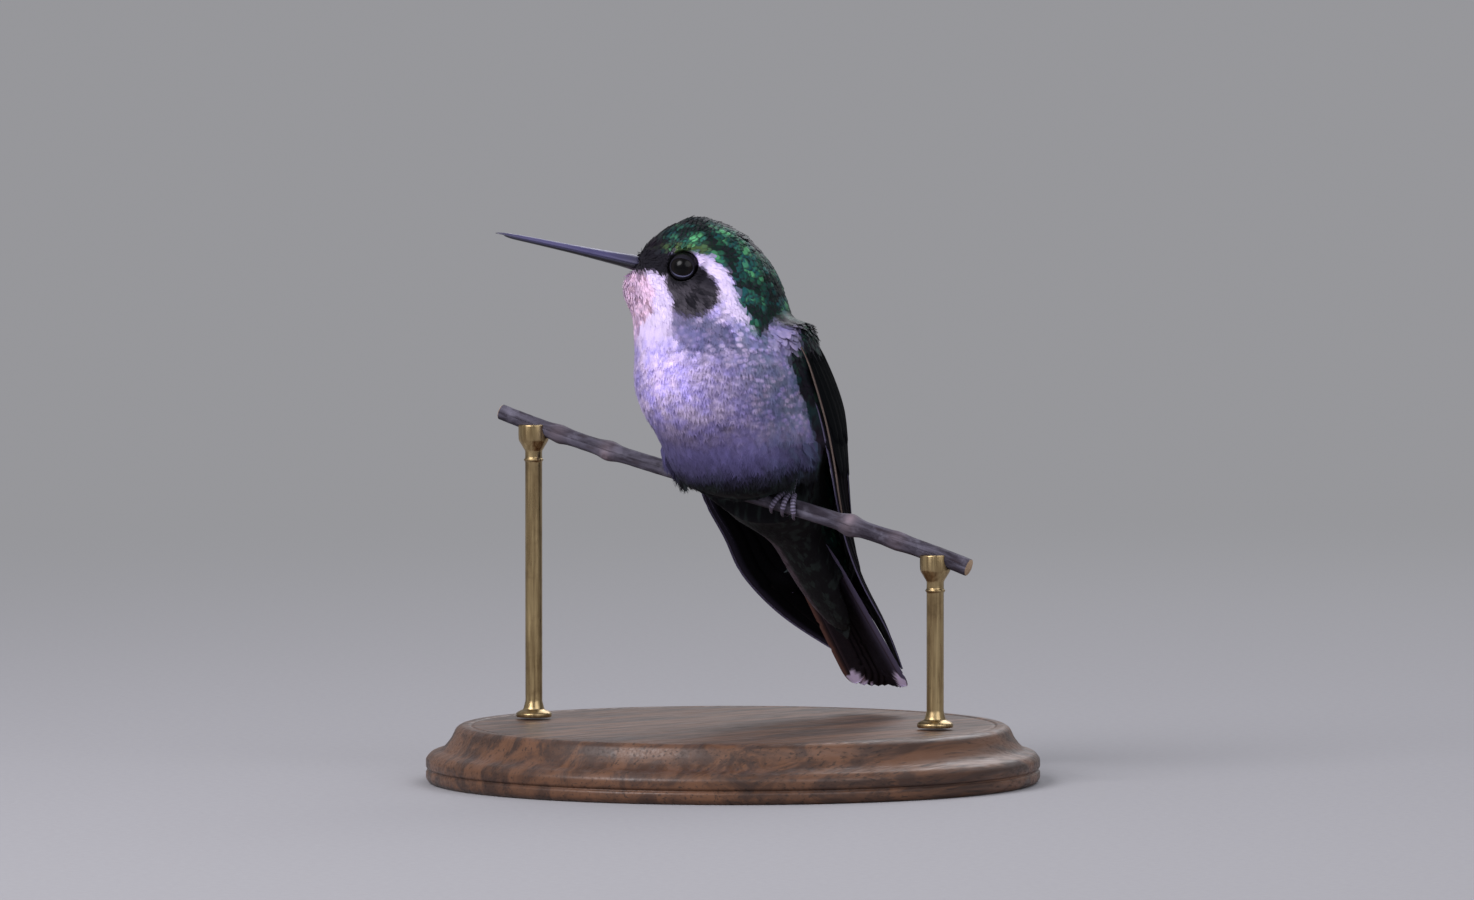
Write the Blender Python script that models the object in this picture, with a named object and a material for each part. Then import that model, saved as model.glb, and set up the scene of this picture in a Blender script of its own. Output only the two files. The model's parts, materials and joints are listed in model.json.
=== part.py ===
"""A perched female mountain-gem hummingbird, life size, on a cut twig over a small turned stand.

The bird faces -Y, its left is +X, and its head is turned to its own right.  Lengths in this
script are millimetres, measured from the perch point on the twig's axis, and become metres
when a mesh is written.  Feather coats are solid here, out to the feather tips.
"""

import math

import bmesh
import bpy
import numpy as np

MM = 0.001
GAP = 0.3  # clear space between two solids that touch in life

# ---------------------------------------------------------------- stand and twig
BASE_RADIUS = 43.0
BASE_HEIGHT = 8.0
PERCH_HEIGHT = 41.0  # floor to the twig's axis under the bird
TWIG_RADIUS = 1.15
TWIG_HALF_LENGTH = 35.0
TWIG_YAW = math.radians(20)
TWIG_SLOPE = 0.264
TWIG_STEEPENING = 2.6e-5  # the slope grows toward both ends
TWIG_SWAY = 0.8
TWIG_SWAY_LENGTH = 22.0
TWIG_TAPER = 0.0016  # share of the radius gained per millimetre
TWIG_KNOTS = ((-26.0, 0.2), (-18.6, 0.32), (17.6, 0.42), (24.5, 0.15))  # place along the twig, swelling
KNOT_WIDTH = 1.3
ROD_RADIUS = 1.2
ROD_PLACE = 30.0  # along the twig, to each side
ROD_FOOT_RADIUS = 2.6
ROD_FOOT_RISE = 1.1
ROD_NECK_RISE = 2.4
ROD_COLLAR_RADIUS = 2.2
ROD_COLLAR_DROP = 2.6  # from the twig's underside to where the rod starts to widen
ROD_COLLAR_FLARE = 1.5

# ---------------------------------------------------------------- bird, main sizes
HEAD_TURN = math.radians(48)
HEAD_LIFT = math.radians(12.5)
HEAD_CENTRE = (-1.97, -3.8, 32.0)
NECK_TOP = 24.6
NECK_BOTTOM = 20.0
EYE_RADIUS = 2.15
EYE_FORWARD = 1.4
EYE_UP = -1.75
EYE_PROUD = 0.8  # how far the eyeball stands out of the coat
BILL_LENGTH = 20.2
BILL_ROOT = 2.2  # hidden in the face
BILL_START = (9.1, 0.0, -2.75)  # forward, left, up from the head's centre
BILL_HALF_DEPTH = ((0.0, 1.15), (0.12, 0.95), (0.45, 0.66), (0.85, 0.43), (1.0, 0.24))
BILL_UPPER_RISE = 1.08  # height of each half over the half depth
BILL_LOWER_RISE = 0.8
BILL_POCKET_SHARE = 0.45
BILL_POCKET_ROOM = 1.2
BILL_WIDEN = 1.12  # width over depth
BILL_PARTING = 0.2
BILL_DROOP = 0.35  # how far the tip hangs below a straight line
LOWER_BILL_SHARE = 0.94

TAIL_ROOT = (0.3, 10.0, -2.0)
TAIL_DROP = math.radians(51.3)
TAIL_START = 6.0
TAIL_END = 35.6
TAIL_TIPS = 6  # rounded feather tips that show along the folded end
TAIL_LOBE = 0.55
TAIL_ROUNDING = 1.5
TAIL_CUP = 0.9  # the middle feathers lie higher than the outer ones
RUMP_CUT = -1.0  # along the tail's line, from its root

FOOT_PLACES = {"left": 8.2, "right": -5.4}  # along the twig from the perch point
TOE_RADIUS = 0.42
TOE_SPREAD = 1.45
TOE_RINGS = 6
CLAW_RINGS = 4
TRENCH_HALF_WIDTH = 2.8
TRENCH_ROOF = 5.8

RING_SIDES = 32
RING_STEP = 1.9
BLEND = 1.3  # how softly the lumps of the body run into each other


# ---------------------------------------------------------------- frames
def unit(vector):
    vector = np.asarray(vector, float)
    return vector / np.linalg.norm(vector)


def head_axes():
    """Forward along the bill, left, and up, as rows."""
    level = np.array([-math.sin(HEAD_TURN), -math.cos(HEAD_TURN), 0.0])
    up = np.array([0.0, 0.0, 1.0])
    forward = level * math.cos(HEAD_LIFT) + up * math.sin(HEAD_LIFT)
    left = np.cross(up, level)
    return np.array([forward, left, np.cross(forward, left)])


def tail_axes():
    """Left, along the tail to its tip, and out of the tail's upper side, as rows."""
    along = np.array([0.0, math.cos(TAIL_DROP), -math.sin(TAIL_DROP)])
    left = np.array([1.0, 0.0, 0.0])
    return np.array([left, along, np.cross(left, along)])


HEAD_AXES = head_axes()
TAIL_AXES = tail_axes()
BODY_AXES = np.eye(3)


def in_head(forward, left, up):
    return np.asarray(HEAD_CENTRE) + np.array([forward, left, up]) @ HEAD_AXES


def in_tail(left, along, above):
    return np.asarray(TAIL_ROOT) + np.array([left, along, above]) @ TAIL_AXES


# ---------------------------------------------------------------- the body as soft lumps
# Each lump is a centre, three radii, and the axes that the radii follow.
BODY_LUMPS = (
    ((0.0, -2.2, 16.2), (12.5, 12.7, 11.8), BODY_AXES),  # breast
    ((0.0, 3.8, 8.2), (11.8, 12.0, 11.2), BODY_AXES),  # belly
    ((0.0, -0.6, 7.0), (9.6, 8.2, 7.4), BODY_AXES),  # loose feathers over the perch
    ((3.4, 0.4, 3.6), (7.6, 6.4, 4.8), BODY_AXES),  # the same, over the left foot
    ((0.0, 9.2, -0.5), (8.6, 7.6, 6.6), BODY_AXES),  # vent and rump
    ((-0.6, -1.6, 24.0), (9.0, 9.2, 7.0), BODY_AXES),  # neck
    ((-4.2, -4.9, 23.2), (7.4, 7.4, 6.5), BODY_AXES),  # front of the neck
    (in_head(-0.2, 0.0, 0.0), (7.4, 5.9, 6.3), HEAD_AXES),  # skull
    (in_head(5.6, 0.0, -1.6), (3.2, 3.0, 2.9), HEAD_AXES),  # forehead and lores
    (in_head(0.7, 0.0, -3.6), (5.6, 5.9, 4.8), HEAD_AXES),  # cheeks
    (in_head(5.8, 0.0, -5.7), (4.7, 4.0, 3.5), HEAD_AXES),  # throat
    (in_head(-5.2, 0.0, -3.3), (6.4, 6.6, 6.4), HEAD_AXES),  # nape
    (in_tail(0.0, 11.0, -1.7), (4.6, 13.0, 1.9), TAIL_AXES),  # undertail coverts
    (in_tail(0.0, 7.0, 1.7), (5.0, 9.5, 2.2), TAIL_AXES),  # uppertail coverts
)

# The line that the body's level rings are measured from: height, then x and y.
CORE_LINE = (
    (-24.0, 0.0, 25.5),
    (-12.0, 0.0, 17.2),
    (-5.0, 0.0, 11.4),
    (2.0, 0.0, 6.5),
    (8.0, 0.0, 3.5),
    (17.0, 0.0, -1.5),
    (24.0, -1.2, -2.0),
    (29.0, -2.0, -3.6),
    (40.0, -2.2, -4.2),
)


def body_distance(points):
    """Signed distance, near enough, from each point to the body's outer surface."""
    points = np.asarray(points, float)
    total = np.zeros(points.shape[:-1])
    for centre, radii, axes in BODY_LUMPS:
        local = (points - centre) @ np.asarray(axes).T
        scaled = np.linalg.norm(local / radii, axis=-1)
        slope = np.linalg.norm(local / np.square(radii), axis=-1)
        distance = scaled * (scaled - 1.0) / np.maximum(slope, 1e-6)
        total += np.exp(-np.clip(distance, -30.0, 30.0) / BLEND)
    return -BLEND * np.log(total)


def body_outward(points):
    step = 0.05
    ahead = [body_distance(points + step * axis) for axis in np.eye(3)]
    behind = [body_distance(points - step * axis) for axis in np.eye(3)]
    outward = np.stack(ahead, axis=-1) - np.stack(behind, axis=-1)
    return outward / np.maximum(np.linalg.norm(outward, axis=-1, keepdims=True), 1e-9)


def reach(origins, directions, longest=26.0, step=0.25):
    """Distance along each ray to the last place where it leaves the body."""
    depths = np.arange(0.0, longest, step)
    samples = body_distance(origins[:, None] + depths[None, :, None] * directions[:, None])
    inside = samples < 0.0
    last = np.where(inside.any(axis=1), inside.shape[1] - 1 - np.argmax(inside[:, ::-1], axis=1), 0)
    near = depths[last]
    far = near + step
    for _ in range(18):
        middle = 0.5 * (near + far)
        is_in = body_distance(origins + middle[:, None] * directions) < 0.0
        near = np.where(is_in, middle, near)
        far = np.where(is_in, far, middle)
    return near


def core_point(height):
    heights, xs, ys = np.array(CORE_LINE).T
    return np.array([np.interp(height, heights, xs), np.interp(height, heights, ys), height])


def vertical_end(start, direction):
    """Where the body ends on a level-ring line, going up or down from a point inside."""
    return start + direction * reach(np.array([start]), np.array([direction]), 20.0)[0]


def body_mesh():
    """Level rings around the core line, closed to a point at the crown and under the tail coverts."""
    top = vertical_end(core_point(34.0), np.array([0.0, 0.0, 1.0]))
    tip = vertical_end(in_tail(0.0, 18.0, -1.7), TAIL_AXES[1])
    inner_low = tip[2] + 0.5
    inner_high = top[2] - 0.35
    count = int((inner_high - inner_low) / RING_STEP)
    shares = np.linspace(0.0, 1.0, count + 1)
    eased = shares + 0.06 * np.sin(2 * math.pi * (shares - 0.5)) / math.pi  # closer rings at the ends
    angles = np.linspace(0.0, 2 * math.pi, RING_SIDES, endpoint=False)
    directions = np.stack([np.sin(angles), -np.cos(angles), np.zeros(RING_SIDES)], axis=1)
    rings = []
    for share in eased:
        centre = core_point(inner_low + share * (inner_high - inner_low))
        origins = np.repeat(centre[None], RING_SIDES, axis=0)
        rings.append(origins + directions * reach(origins, directions)[:, None])
    return loft(rings, start_tip=tip, end_tip=top)


# ---------------------------------------------------------------- meshes
def loft(rings, start_tip=None, end_tip=None):
    """Vertices and faces through closed rings, each end closed to a point or by one flat face."""
    sides = len(rings[0])
    vertices = [tuple(point) for ring in rings for point in ring]
    faces = []
    for row in range(len(rings) - 1):
        for side in range(sides):
            after = (side + 1) % sides
            low, high = row * sides, (row + 1) * sides
            faces.append((low + side, low + after, high + after, high + side))
    for tip, row in ((start_tip, 0), (end_tip, len(rings) - 1)):
        edge = [row * sides + side for side in range(sides)]
        if tip is None:
            faces.append(tuple(edge))
            continue
        vertices.append(tuple(tip))
        faces.extend((edge[side], edge[(side + 1) % sides], len(vertices) - 1) for side in range(sides))
    return vertices, faces


def tube(path, radii, sides=8, flatten=1.0, pointed=False):
    """A round bar along a path; flatten squeezes it along the path's second axis."""
    path = np.asarray(path, float)
    tangents = np.gradient(path, axis=0)
    tangents /= np.linalg.norm(tangents, axis=1, keepdims=True)
    normal = np.cross(tangents[0], unit([0.31, 0.17, 0.93]))
    angles = np.linspace(0.0, 2 * math.pi, sides, endpoint=False)
    rings = []
    for centre, tangent, radius in zip(path, tangents, radii):
        normal = unit(normal - tangent * np.dot(normal, tangent))
        second = np.cross(tangent, normal)
        ring = [centre + radius * (math.cos(a) * normal + flatten * math.sin(a) * second) for a in angles]
        rings.append(ring)
    return loft(rings, end_tip=path[-1] + tangents[-1] * radii[-1] if pointed else None)


def plate(centres, normals, thickness):
    """A closed sheet through a grid of centre points, with the given thickness at each point."""
    half = 0.5 * thickness[..., None] * normals
    outer, inner = centres + half, centres - half
    rows, columns = centres.shape[:2]
    vertices = [tuple(p) for p in outer.reshape(-1, 3)] + [tuple(p) for p in inner.reshape(-1, 3)]
    shift = rows * columns
    faces = []
    for row in range(rows - 1):
        for column in range(columns - 1):
            a = row * columns + column
            quad = (a, a + 1, a + 1 + columns, a + columns)
            faces.append(quad)
            faces.append(tuple(index + shift for index in reversed(quad)))
    rim = list(range(columns))
    rim += [row * columns + columns - 1 for row in range(1, rows)]
    rim += [(rows - 1) * columns + column for column in range(columns - 2, -1, -1)]
    rim += [row * columns for row in range(rows - 2, 0, -1)]
    for here, after in zip(rim, rim[1:] + rim[:1]):
        faces.append((after, here, here + shift, after + shift))
    return vertices, faces


def turned(profile, sides):
    """A solid of revolution about +Z from (radius, height) pairs, bottom to top."""
    angles = np.linspace(0.0, 2 * math.pi, sides, endpoint=False)
    rings = [[(r * math.cos(a), r * math.sin(a), z) for a in angles] for r, z in profile]
    return loft(rings)


def ball(centre, radius, rings=8, sides=14):
    heights = [-radius * math.cos(math.pi * i / rings) for i in range(1, rings)]
    level = [(math.sqrt(radius * radius - h * h), h) for h in heights]
    angles = np.linspace(0.0, 2 * math.pi, sides, endpoint=False)
    centre = np.asarray(centre, float)
    circles = [[centre + (r * math.cos(a), r * math.sin(a), h) for a in angles] for r, h in level]
    return loft(circles, centre - (0, 0, radius), centre + (0, 0, radius))


# ---------------------------------------------------------------- objects
def material(name, colour, roughness, metallic=0.0):
    shader = bpy.data.materials.new(name)
    shader.use_nodes = True
    principled = shader.node_tree.nodes["Principled BSDF"]
    principled.inputs["Base Color"].default_value = (*colour, 1.0)
    principled.inputs["Roughness"].default_value = roughness
    principled.inputs["Metallic"].default_value = metallic
    shader.diffuse_color = (*colour, 1.0)
    return shader


def add(name, shape, parent, shader=None, origin=(0.0, 0.0, 0.0), sharp=40.0):
    """One object in metres under its parent, with its origin at a point of the part."""
    vertices, faces = shape
    mesh = bpy.data.meshes.new(name)
    mesh.from_pydata([tuple((c - o) * MM for c, o in zip(v, origin)) for v in vertices], [], faces)
    shaping = bmesh.new()
    shaping.from_mesh(mesh)
    bmesh.ops.triangulate(shaping, faces=shaping.faces)
    bmesh.ops.recalc_face_normals(shaping, faces=shaping.faces)
    shaping.to_mesh(mesh)
    shaping.free()
    mesh.shade_smooth()
    mesh.set_sharp_from_angle(angle=math.radians(sharp))
    piece = bpy.data.objects.new(name, mesh)
    bpy.context.scene.collection.objects.link(piece)
    piece.parent = parent
    piece.location = [c * MM for c in origin]
    if shader is not None:
        mesh.materials.append(shader)
    return piece


def add_cutter(name, shape, parent):
    cutter = add(name, shape, parent)
    cutter.hide_render = True
    cutter.display_type = "WIRE"
    return cutter


def cut(target, cutter, operation="DIFFERENCE"):
    boolean = target.modifiers.new(cutter.name, "BOOLEAN")
    boolean.operation = operation
    boolean.solver = "EXACT"
    boolean.object = cutter


def empty(name, height):
    holder = bpy.data.objects.new(name, None)
    holder.location = (0.0, 0.0, height * MM)
    bpy.context.scene.collection.objects.link(holder)
    return holder


def block(low, high, axes=BODY_AXES, origin=(0.0, 0.0, 0.0)):
    """A box between two corners in a turned frame."""
    corners = [(x, y, z) for z in (low[2], high[2]) for y in (low[1], high[1]) for x in (low[0], high[0])]
    vertices = [tuple(np.asarray(origin) + np.array(c) @ np.asarray(axes)) for c in corners]
    faces = [(0, 2, 3, 1), (4, 5, 7, 6), (0, 1, 5, 4), (2, 6, 7, 3), (0, 4, 6, 2), (1, 3, 7, 5)]
    return vertices, faces


# ---------------------------------------------------------------- twig, feet and stand
def twig_point(place):
    sway = TWIG_SWAY * math.sin(place / TWIG_SWAY_LENGTH) ** 3
    x = place * math.cos(TWIG_YAW) - sway * math.sin(TWIG_YAW)
    y = place * math.sin(TWIG_YAW) + sway * math.cos(TWIG_YAW)
    return np.array([x, y, -TWIG_SLOPE * place - TWIG_STEEPENING * place**3])


def twig_axes(place):
    """Along the twig, level across it toward the bird's back, and up out of it, as rows."""
    along = unit(twig_point(place + 0.1) - twig_point(place - 0.1))
    across = unit(np.cross([0.0, 0.0, 1.0], along))
    return np.array([along, across, np.cross(along, across)])


def twig_radius(place):
    swelling = sum(size * math.exp(-(((place - at) / KNOT_WIDTH) ** 2)) for at, size in TWIG_KNOTS)
    return TWIG_RADIUS * (1.0 + TWIG_TAPER * place) + swelling


def twig_shape(grow=0.0, sides=10):
    places = set(np.linspace(-TWIG_HALF_LENGTH, TWIG_HALF_LENGTH, 17))
    for at, _ in TWIG_KNOTS:
        places.update(at + step * KNOT_WIDTH for step in (-1.3, 0.0, 1.3))
    places = sorted(places)
    path = [twig_point(place) for place in places]
    return tube(path, [twig_radius(place) + grow for place in places], sides)


def around_twig(place, turn, radius):
    """A point at an angle round the twig: 0 is on top, positive turns run down its front."""
    _, across, up = twig_axes(place)
    return twig_point(place) + radius * (math.cos(turn) * up - math.sin(turn) * across)


def toe_and_claw(place, spread, side):
    """The scaled toe round the twig, and the claw that carries on from it."""
    ring = TWIG_RADIUS * (1.0 + TWIG_TAPER * place) + GAP + TOE_RADIUS
    turns = np.radians(np.linspace(22.0, 108.0, TOE_RINGS)) * side
    places = place + spread * np.linspace(0.75, 1.15, TOE_RINGS)
    radii = TOE_RADIUS * (0.92 + 0.08 * np.cos(math.pi * np.arange(TOE_RINGS)))
    toe = tube([around_twig(p, t, ring) for p, t in zip(places, turns)], radii, 7)
    hook_turns = np.radians(np.linspace(122.0, 172.0, CLAW_RINGS)) * side
    hook_ring = np.linspace(ring + 0.12, TWIG_RADIUS + GAP + 0.18, CLAW_RINGS)
    hook_radii = TOE_RADIUS * np.linspace(0.78, 0.2, CLAW_RINGS)
    hook_path = [around_twig(places[-1], t, r) for t, r in zip(hook_turns, hook_ring)]
    return toe, tube(hook_path, hook_radii, 6, pointed=True)


def leg_shape(place):
    """The short feathered leg and bare shank, ending in the pad on top of the twig."""
    _, _, up = twig_axes(place)
    lowest = TWIG_RADIUS * (1.0 + TWIG_TAPER * place) + GAP
    heights = (lowest, lowest + 0.35, lowest + 0.9, lowest + 1.9, lowest + 2.7, TRENCH_ROOF - GAP - 0.15)
    radii = (0.55, 0.7, 0.52, 0.5, 0.85, 1.15)
    return tube([twig_point(place) + up * h for h in heights], radii, 10)


def trench_shape():
    """The hollow under the belly that the twig and both feet lie in."""
    profile = (
        (-TRENCH_HALF_WIDTH, -16.0),
        (-TRENCH_HALF_WIDTH, 3.0),
        (-2.1, TRENCH_ROOF - 0.9),
        (-1.1, TRENCH_ROOF),
        (1.1, TRENCH_ROOF),
        (2.1, TRENCH_ROOF - 0.9),
        (TRENCH_HALF_WIDTH, 3.0),
        (TRENCH_HALF_WIDTH, -16.0),
    )
    rings = []
    for place in np.linspace(-20.0, 20.0, 9):
        _, across, up = twig_axes(place)
        rings.append([twig_point(place) + a * across + u * up for a, u in profile])
    return loft(rings)


def base_shape():
    r, h = BASE_RADIUS, BASE_HEIGHT
    profile = (
        (r - 0.6, 0.0),
        (r, 0.6),
        (r, h * 0.42),
        (r - 0.7, h * 0.52),
        (r - 2.2, h * 0.58),
        (r - 3.6, h * 0.74),
        (r - 4.2, h * 0.94),
        (r - 4.8, h),
    )
    return turned(profile, 36)


def rod_shape(place):
    """A rod that stands on the base and widens to a collar round the twig."""
    top = PERCH_HEIGHT + twig_point(place)[2]
    collar_low = top - twig_radius(place) - ROD_COLLAR_DROP
    profile = (
        (ROD_FOOT_RADIUS, BASE_HEIGHT + GAP),
        (ROD_FOOT_RADIUS, BASE_HEIGHT + ROD_FOOT_RISE),
        (1.2 * ROD_RADIUS, BASE_HEIGHT + 0.5 * (ROD_FOOT_RISE + ROD_NECK_RISE)),
        (ROD_RADIUS, BASE_HEIGHT + ROD_NECK_RISE),
        (ROD_RADIUS, collar_low),
        (ROD_COLLAR_RADIUS, collar_low + ROD_COLLAR_FLARE),
        (ROD_COLLAR_RADIUS, top),
    )
    vertices, faces = turned(profile, 12)
    foot = twig_point(place)
    return [(x + foot[0], y + foot[1], z) for x, y, z in vertices], faces


# ---------------------------------------------------------------- wings
# Stations down the left folded wing: leading edge, trailing edge, and outward camber.
WING_STATIONS = (
    ((11.2, -4.2, 23.0), (8.0, 3.0, 24.4), 0.3),
    ((13.0, -1.4, 20.0), (5.2, 10.4, 20.0), 1.2),
    ((13.1, 3.0, 11.5), (2.8, 16.0, 11.5), 2.4),
    ((13.3, 5.4, 4.5), (1.9, 17.4, 4.5), 2.3),
    ((12.8, 7.8, -2.0), (2.0, 18.3, -2.0), 1.8),
    ((10.9, 12.0, -7.8), (1.7, 19.8, -7.6), 1.6),
    ((9.7, 16.6, -13.6), (1.4, 22.6, -13.2), 1.2),
    ((8.3, 24.1, -20.6), (2.0, 28.2, -19.9), 0.7),
    ((5.2, 32.0, -26.8), (3.6, 32.8, -26.3), 0.1),
)
# How far the right wing hangs out from the tail at each station, and which way.
RIGHT_SPREAD = (0.0, 0.0, 0.0, 0.0, 0.3, 1.5, 2.9, 3.1, 1.4)
SPREAD_WAY = (-0.743, -0.669, 0.0)
COVERT_SPAN = (0.0, 0.36)
SECONDARY_SPAN = (0.37, 0.56)
PRIMARY_SPAN = (0.365, 1.0)
COVERT_THICKNESS = 1.5
FLIGHT_THICKNESS = 0.9
FLIGHT_TIP_THICKNESS = 0.6
PRIMARY_STEPS = 7  # feather tips that step along the inner edge
SECONDARY_THICKNESS = 0.7
SECONDARY_EDGE = (0.45, 0.97)  # across the wing, from the leading edge
SECONDARY_NARROWING = 0.3


def curve_through(points, share):
    """A Catmull-Rom curve through evenly spaced points, read at a share of its run."""
    points = np.asarray(points, float)
    spans = len(points) - 1
    at = min(max(share * spans, 0.0), spans - 1e-9)
    index = int(at)
    t = at - index
    p0 = points[max(index - 1, 0)]
    p1, p2 = points[index], points[index + 1]
    p3 = points[min(index + 2, spans)]
    square = 2 * p0 - 5 * p1 + 4 * p2 - p3
    cube = 3 * (p1 - p2) + p3 - p0
    return 0.5 * (2 * p1 + (p2 - p0) * t + square * t**2 + cube * t**3)


def wing_grid(side, shares, across, clearance):
    """Centre points of a wing layer, laid on the body with the given clearance, and their normals.

    side is 1 for the left wing and -1 for the right one.
    """
    grid = np.zeros((len(shares), across.shape[1], 3))
    for row, share in enumerate(shares):
        lead = curve_through([s[0] for s in WING_STATIONS], share)
        trail = curve_through([s[1] for s in WING_STATIONS], share)
        camber = curve_through([[s[2]] for s in WING_STATIONS], share)[0]
        chord = trail - lead
        out = unit(np.cross([0.0, 0.25, -1.0], chord))
        spread = curve_through([[s] for s in RIGHT_SPREAD], share)[0] if side < 0 else 0.0
        for column, v in enumerate(across[row]):
            place = lead + v * chord + out * camber * 4 * v * (1 - v)
            grid[row, column] = place * (side, 1.0, 1.0) + spread * (1 - v) * np.array(SPREAD_WAY)
    clearance = np.broadcast_to(np.asarray(clearance, float), grid.shape[:2])
    for _ in range(8):
        short = np.maximum(clearance - body_distance(grid), 0.0)
        grid = grid + short[..., None] * body_outward(grid)
    normals = np.cross(np.gradient(grid, axis=0), np.gradient(grid, axis=1))
    normals /= np.maximum(np.linalg.norm(normals, axis=-1, keepdims=True), 1e-9)
    return grid, normals * side


def covert_layer(side):
    shares = np.linspace(*COVERT_SPAN, 9)
    rounding = np.sqrt(np.clip(1.0 - (1.0 - shares / 0.1) ** 2, 0.0, 1.0)) * (shares < 0.1) + (shares >= 0.1)
    spread = 0.25 + 0.75 * rounding
    columns = np.linspace(0.0, 1.0, 7)
    across = 0.5 + (columns[None] - 0.5) * spread[:, None]
    edge = 1.0 - 0.55 * np.abs(2 * columns - 1) ** 3
    thickness = COVERT_THICKNESS * edge[None] * (0.55 + 0.45 * rounding[:, None])
    grid, normals = wing_grid(side, shares, across, GAP + 0.5 * thickness)
    return plate(grid, normals, thickness)


def primary_layer(side):
    shares = np.linspace(*PRIMARY_SPAN, 22)
    run = (shares - PRIMARY_SPAN[0]) / (PRIMARY_SPAN[1] - PRIMARY_SPAN[0])
    steps = (run * PRIMARY_STEPS) % 1.0
    reach_in = 1.0 - 0.2 * steps**3 * (run < 0.99)
    narrowing = np.clip((1.0 - run) / 0.06, 0.35, 1.0)
    columns = np.linspace(0.0, 1.0, 5)
    across = columns[None] * (reach_in * narrowing)[:, None]
    thickness = np.interp(run, (0.0, 1.0), (FLIGHT_THICKNESS, FLIGHT_TIP_THICKNESS))
    thickness = np.repeat(thickness[:, None], len(columns), axis=1)
    grid, normals = wing_grid(side, shares, across, GAP + 0.5 * thickness)
    return plate(grid, normals, thickness)


def secondary_layer(side):
    """The short inner flight feathers, lying on the primaries beside the back."""
    shares = np.linspace(*SECONDARY_SPAN, 8)
    run = (shares - SECONDARY_SPAN[0]) / (SECONDARY_SPAN[1] - SECONDARY_SPAN[0])
    columns = np.linspace(0.0, 1.0, 5)
    inner_edge = SECONDARY_EDGE[0] + SECONDARY_NARROWING * run**3
    across = inner_edge[:, None] + (SECONDARY_EDGE[1] - inner_edge[:, None]) * columns[None]
    thickness = np.full(across.shape, SECONDARY_THICKNESS)
    lift = GAP + FLIGHT_THICKNESS + GAP + 0.1 + 0.5 * SECONDARY_THICKNESS + 0.1 * run[:, None]
    grid, normals = wing_grid(side, shares, across, np.broadcast_to(lift, across.shape))
    base_grid, _ = wing_grid(side, shares, across, GAP + 0.5 * FLIGHT_THICKNESS)
    apart = np.linalg.norm(grid - base_grid, axis=-1, keepdims=True)
    wanted = 0.5 * (FLIGHT_THICKNESS + GAP + SECONDARY_THICKNESS) + GAP
    grid = np.where(apart < wanted, base_grid + normals * wanted, grid)
    return plate(grid, normals, thickness)


# ---------------------------------------------------------------- tail
def tail_shape(grow=0.0):
    """The folded tail: a shallow upturned trough whose end shows rounded feather tips."""
    columns = np.linspace(-1.0, 1.0, 2 * TAIL_TIPS + 1)
    rows = np.linspace(0.0, 1.0, 7)
    lobes = np.abs(np.sin(0.5 * math.pi * TAIL_TIPS * (columns + 1)))
    lengths = TAIL_END - TAIL_ROUNDING * np.abs(columns) ** 2.6 + TAIL_LOBE * (lobes - 1.0)
    lengths = lengths - TAIL_START + grow
    centres = np.zeros((len(rows), len(columns), 3))
    thickness = np.zeros((len(rows), len(columns)))
    for row, share in enumerate(rows):
        half_width = np.interp(share, (0.0, 0.25, 0.7, 1.0), (2.9, 3.9, 5.4, 5.1)) + grow
        for column, v in enumerate(columns):
            along = TAIL_START - grow * (1 - share) + share * lengths[column]
            centres[row, column] = in_tail(v * half_width, along, TAIL_CUP * (0.5 - v * v))
            thickness[row, column] = np.interp(share, (0.0, 1.0), (1.5, 0.7)) + 2 * grow
    normals = np.broadcast_to(TAIL_AXES[2], centres.shape)
    return plate(centres, normals, thickness)


# ---------------------------------------------------------------- head
def bill_line(share):
    """The bill's middle line, from the face to the tip."""
    forward, left, up = BILL_START
    droop = BILL_DROOP * (1.4 * share - share**2)  # a faint arch
    return in_head(forward + BILL_LENGTH * share, left, up + droop - BILL_DROOP * 0.4 * share)


def bill_shape(upper, grow=0.0):
    """Half of the bill: a rounded ridge above, a shallower keel below."""
    start = -BILL_ROOT / BILL_LENGTH
    end = 1.0 if upper else LOWER_BILL_SHARE
    shares = np.concatenate([[start], np.linspace(0.0, end, 10)])
    profile_shares, profile_depths = np.array(BILL_HALF_DEPTH).T
    parting = 0.5 * BILL_PARTING
    rings = []
    for share in shares:
        half = np.interp(share, profile_shares, profile_depths) + grow
        width = half * BILL_WIDEN
        centre = bill_line(share)
        arc = [math.pi * i / 6 for i in range(7)]
        side = 1.0 if upper else -1.0
        height = half * (BILL_UPPER_RISE if upper else BILL_LOWER_RISE) - parting
        low = side * (parting - grow)
        points = [(width * math.cos(a), low + side * max(height, 0.08) * math.sin(a)) for a in arc]
        rings.append([centre + x * HEAD_AXES[1] + z * HEAD_AXES[2] for x, z in points])
    return loft(rings)


def bill_pocket():
    """Room for the bill in the face, a little larger than both halves together."""
    shares = np.linspace(-(BILL_ROOT + GAP) / BILL_LENGTH, BILL_POCKET_SHARE, 6)
    profile_shares, profile_depths = np.array(BILL_HALF_DEPTH).T
    path = [bill_line(share) for share in shares]
    radii = [np.interp(share, profile_shares, profile_depths) * BILL_POCKET_ROOM + GAP for share in shares]
    return tube(path, radii, 12)


def eye_centre(side):
    """Set so that the ball stands a little out of the coat on each side of the head."""
    middle = in_head(EYE_FORWARD, 0.0, EYE_UP)
    outward = unit(side * HEAD_AXES[1] + 0.22 * HEAD_AXES[0] + 0.06 * HEAD_AXES[2])
    distance = reach(np.array([middle]), np.array([outward]))[0]
    return middle + outward * (distance - EYE_RADIUS + EYE_PROUD)


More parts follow.
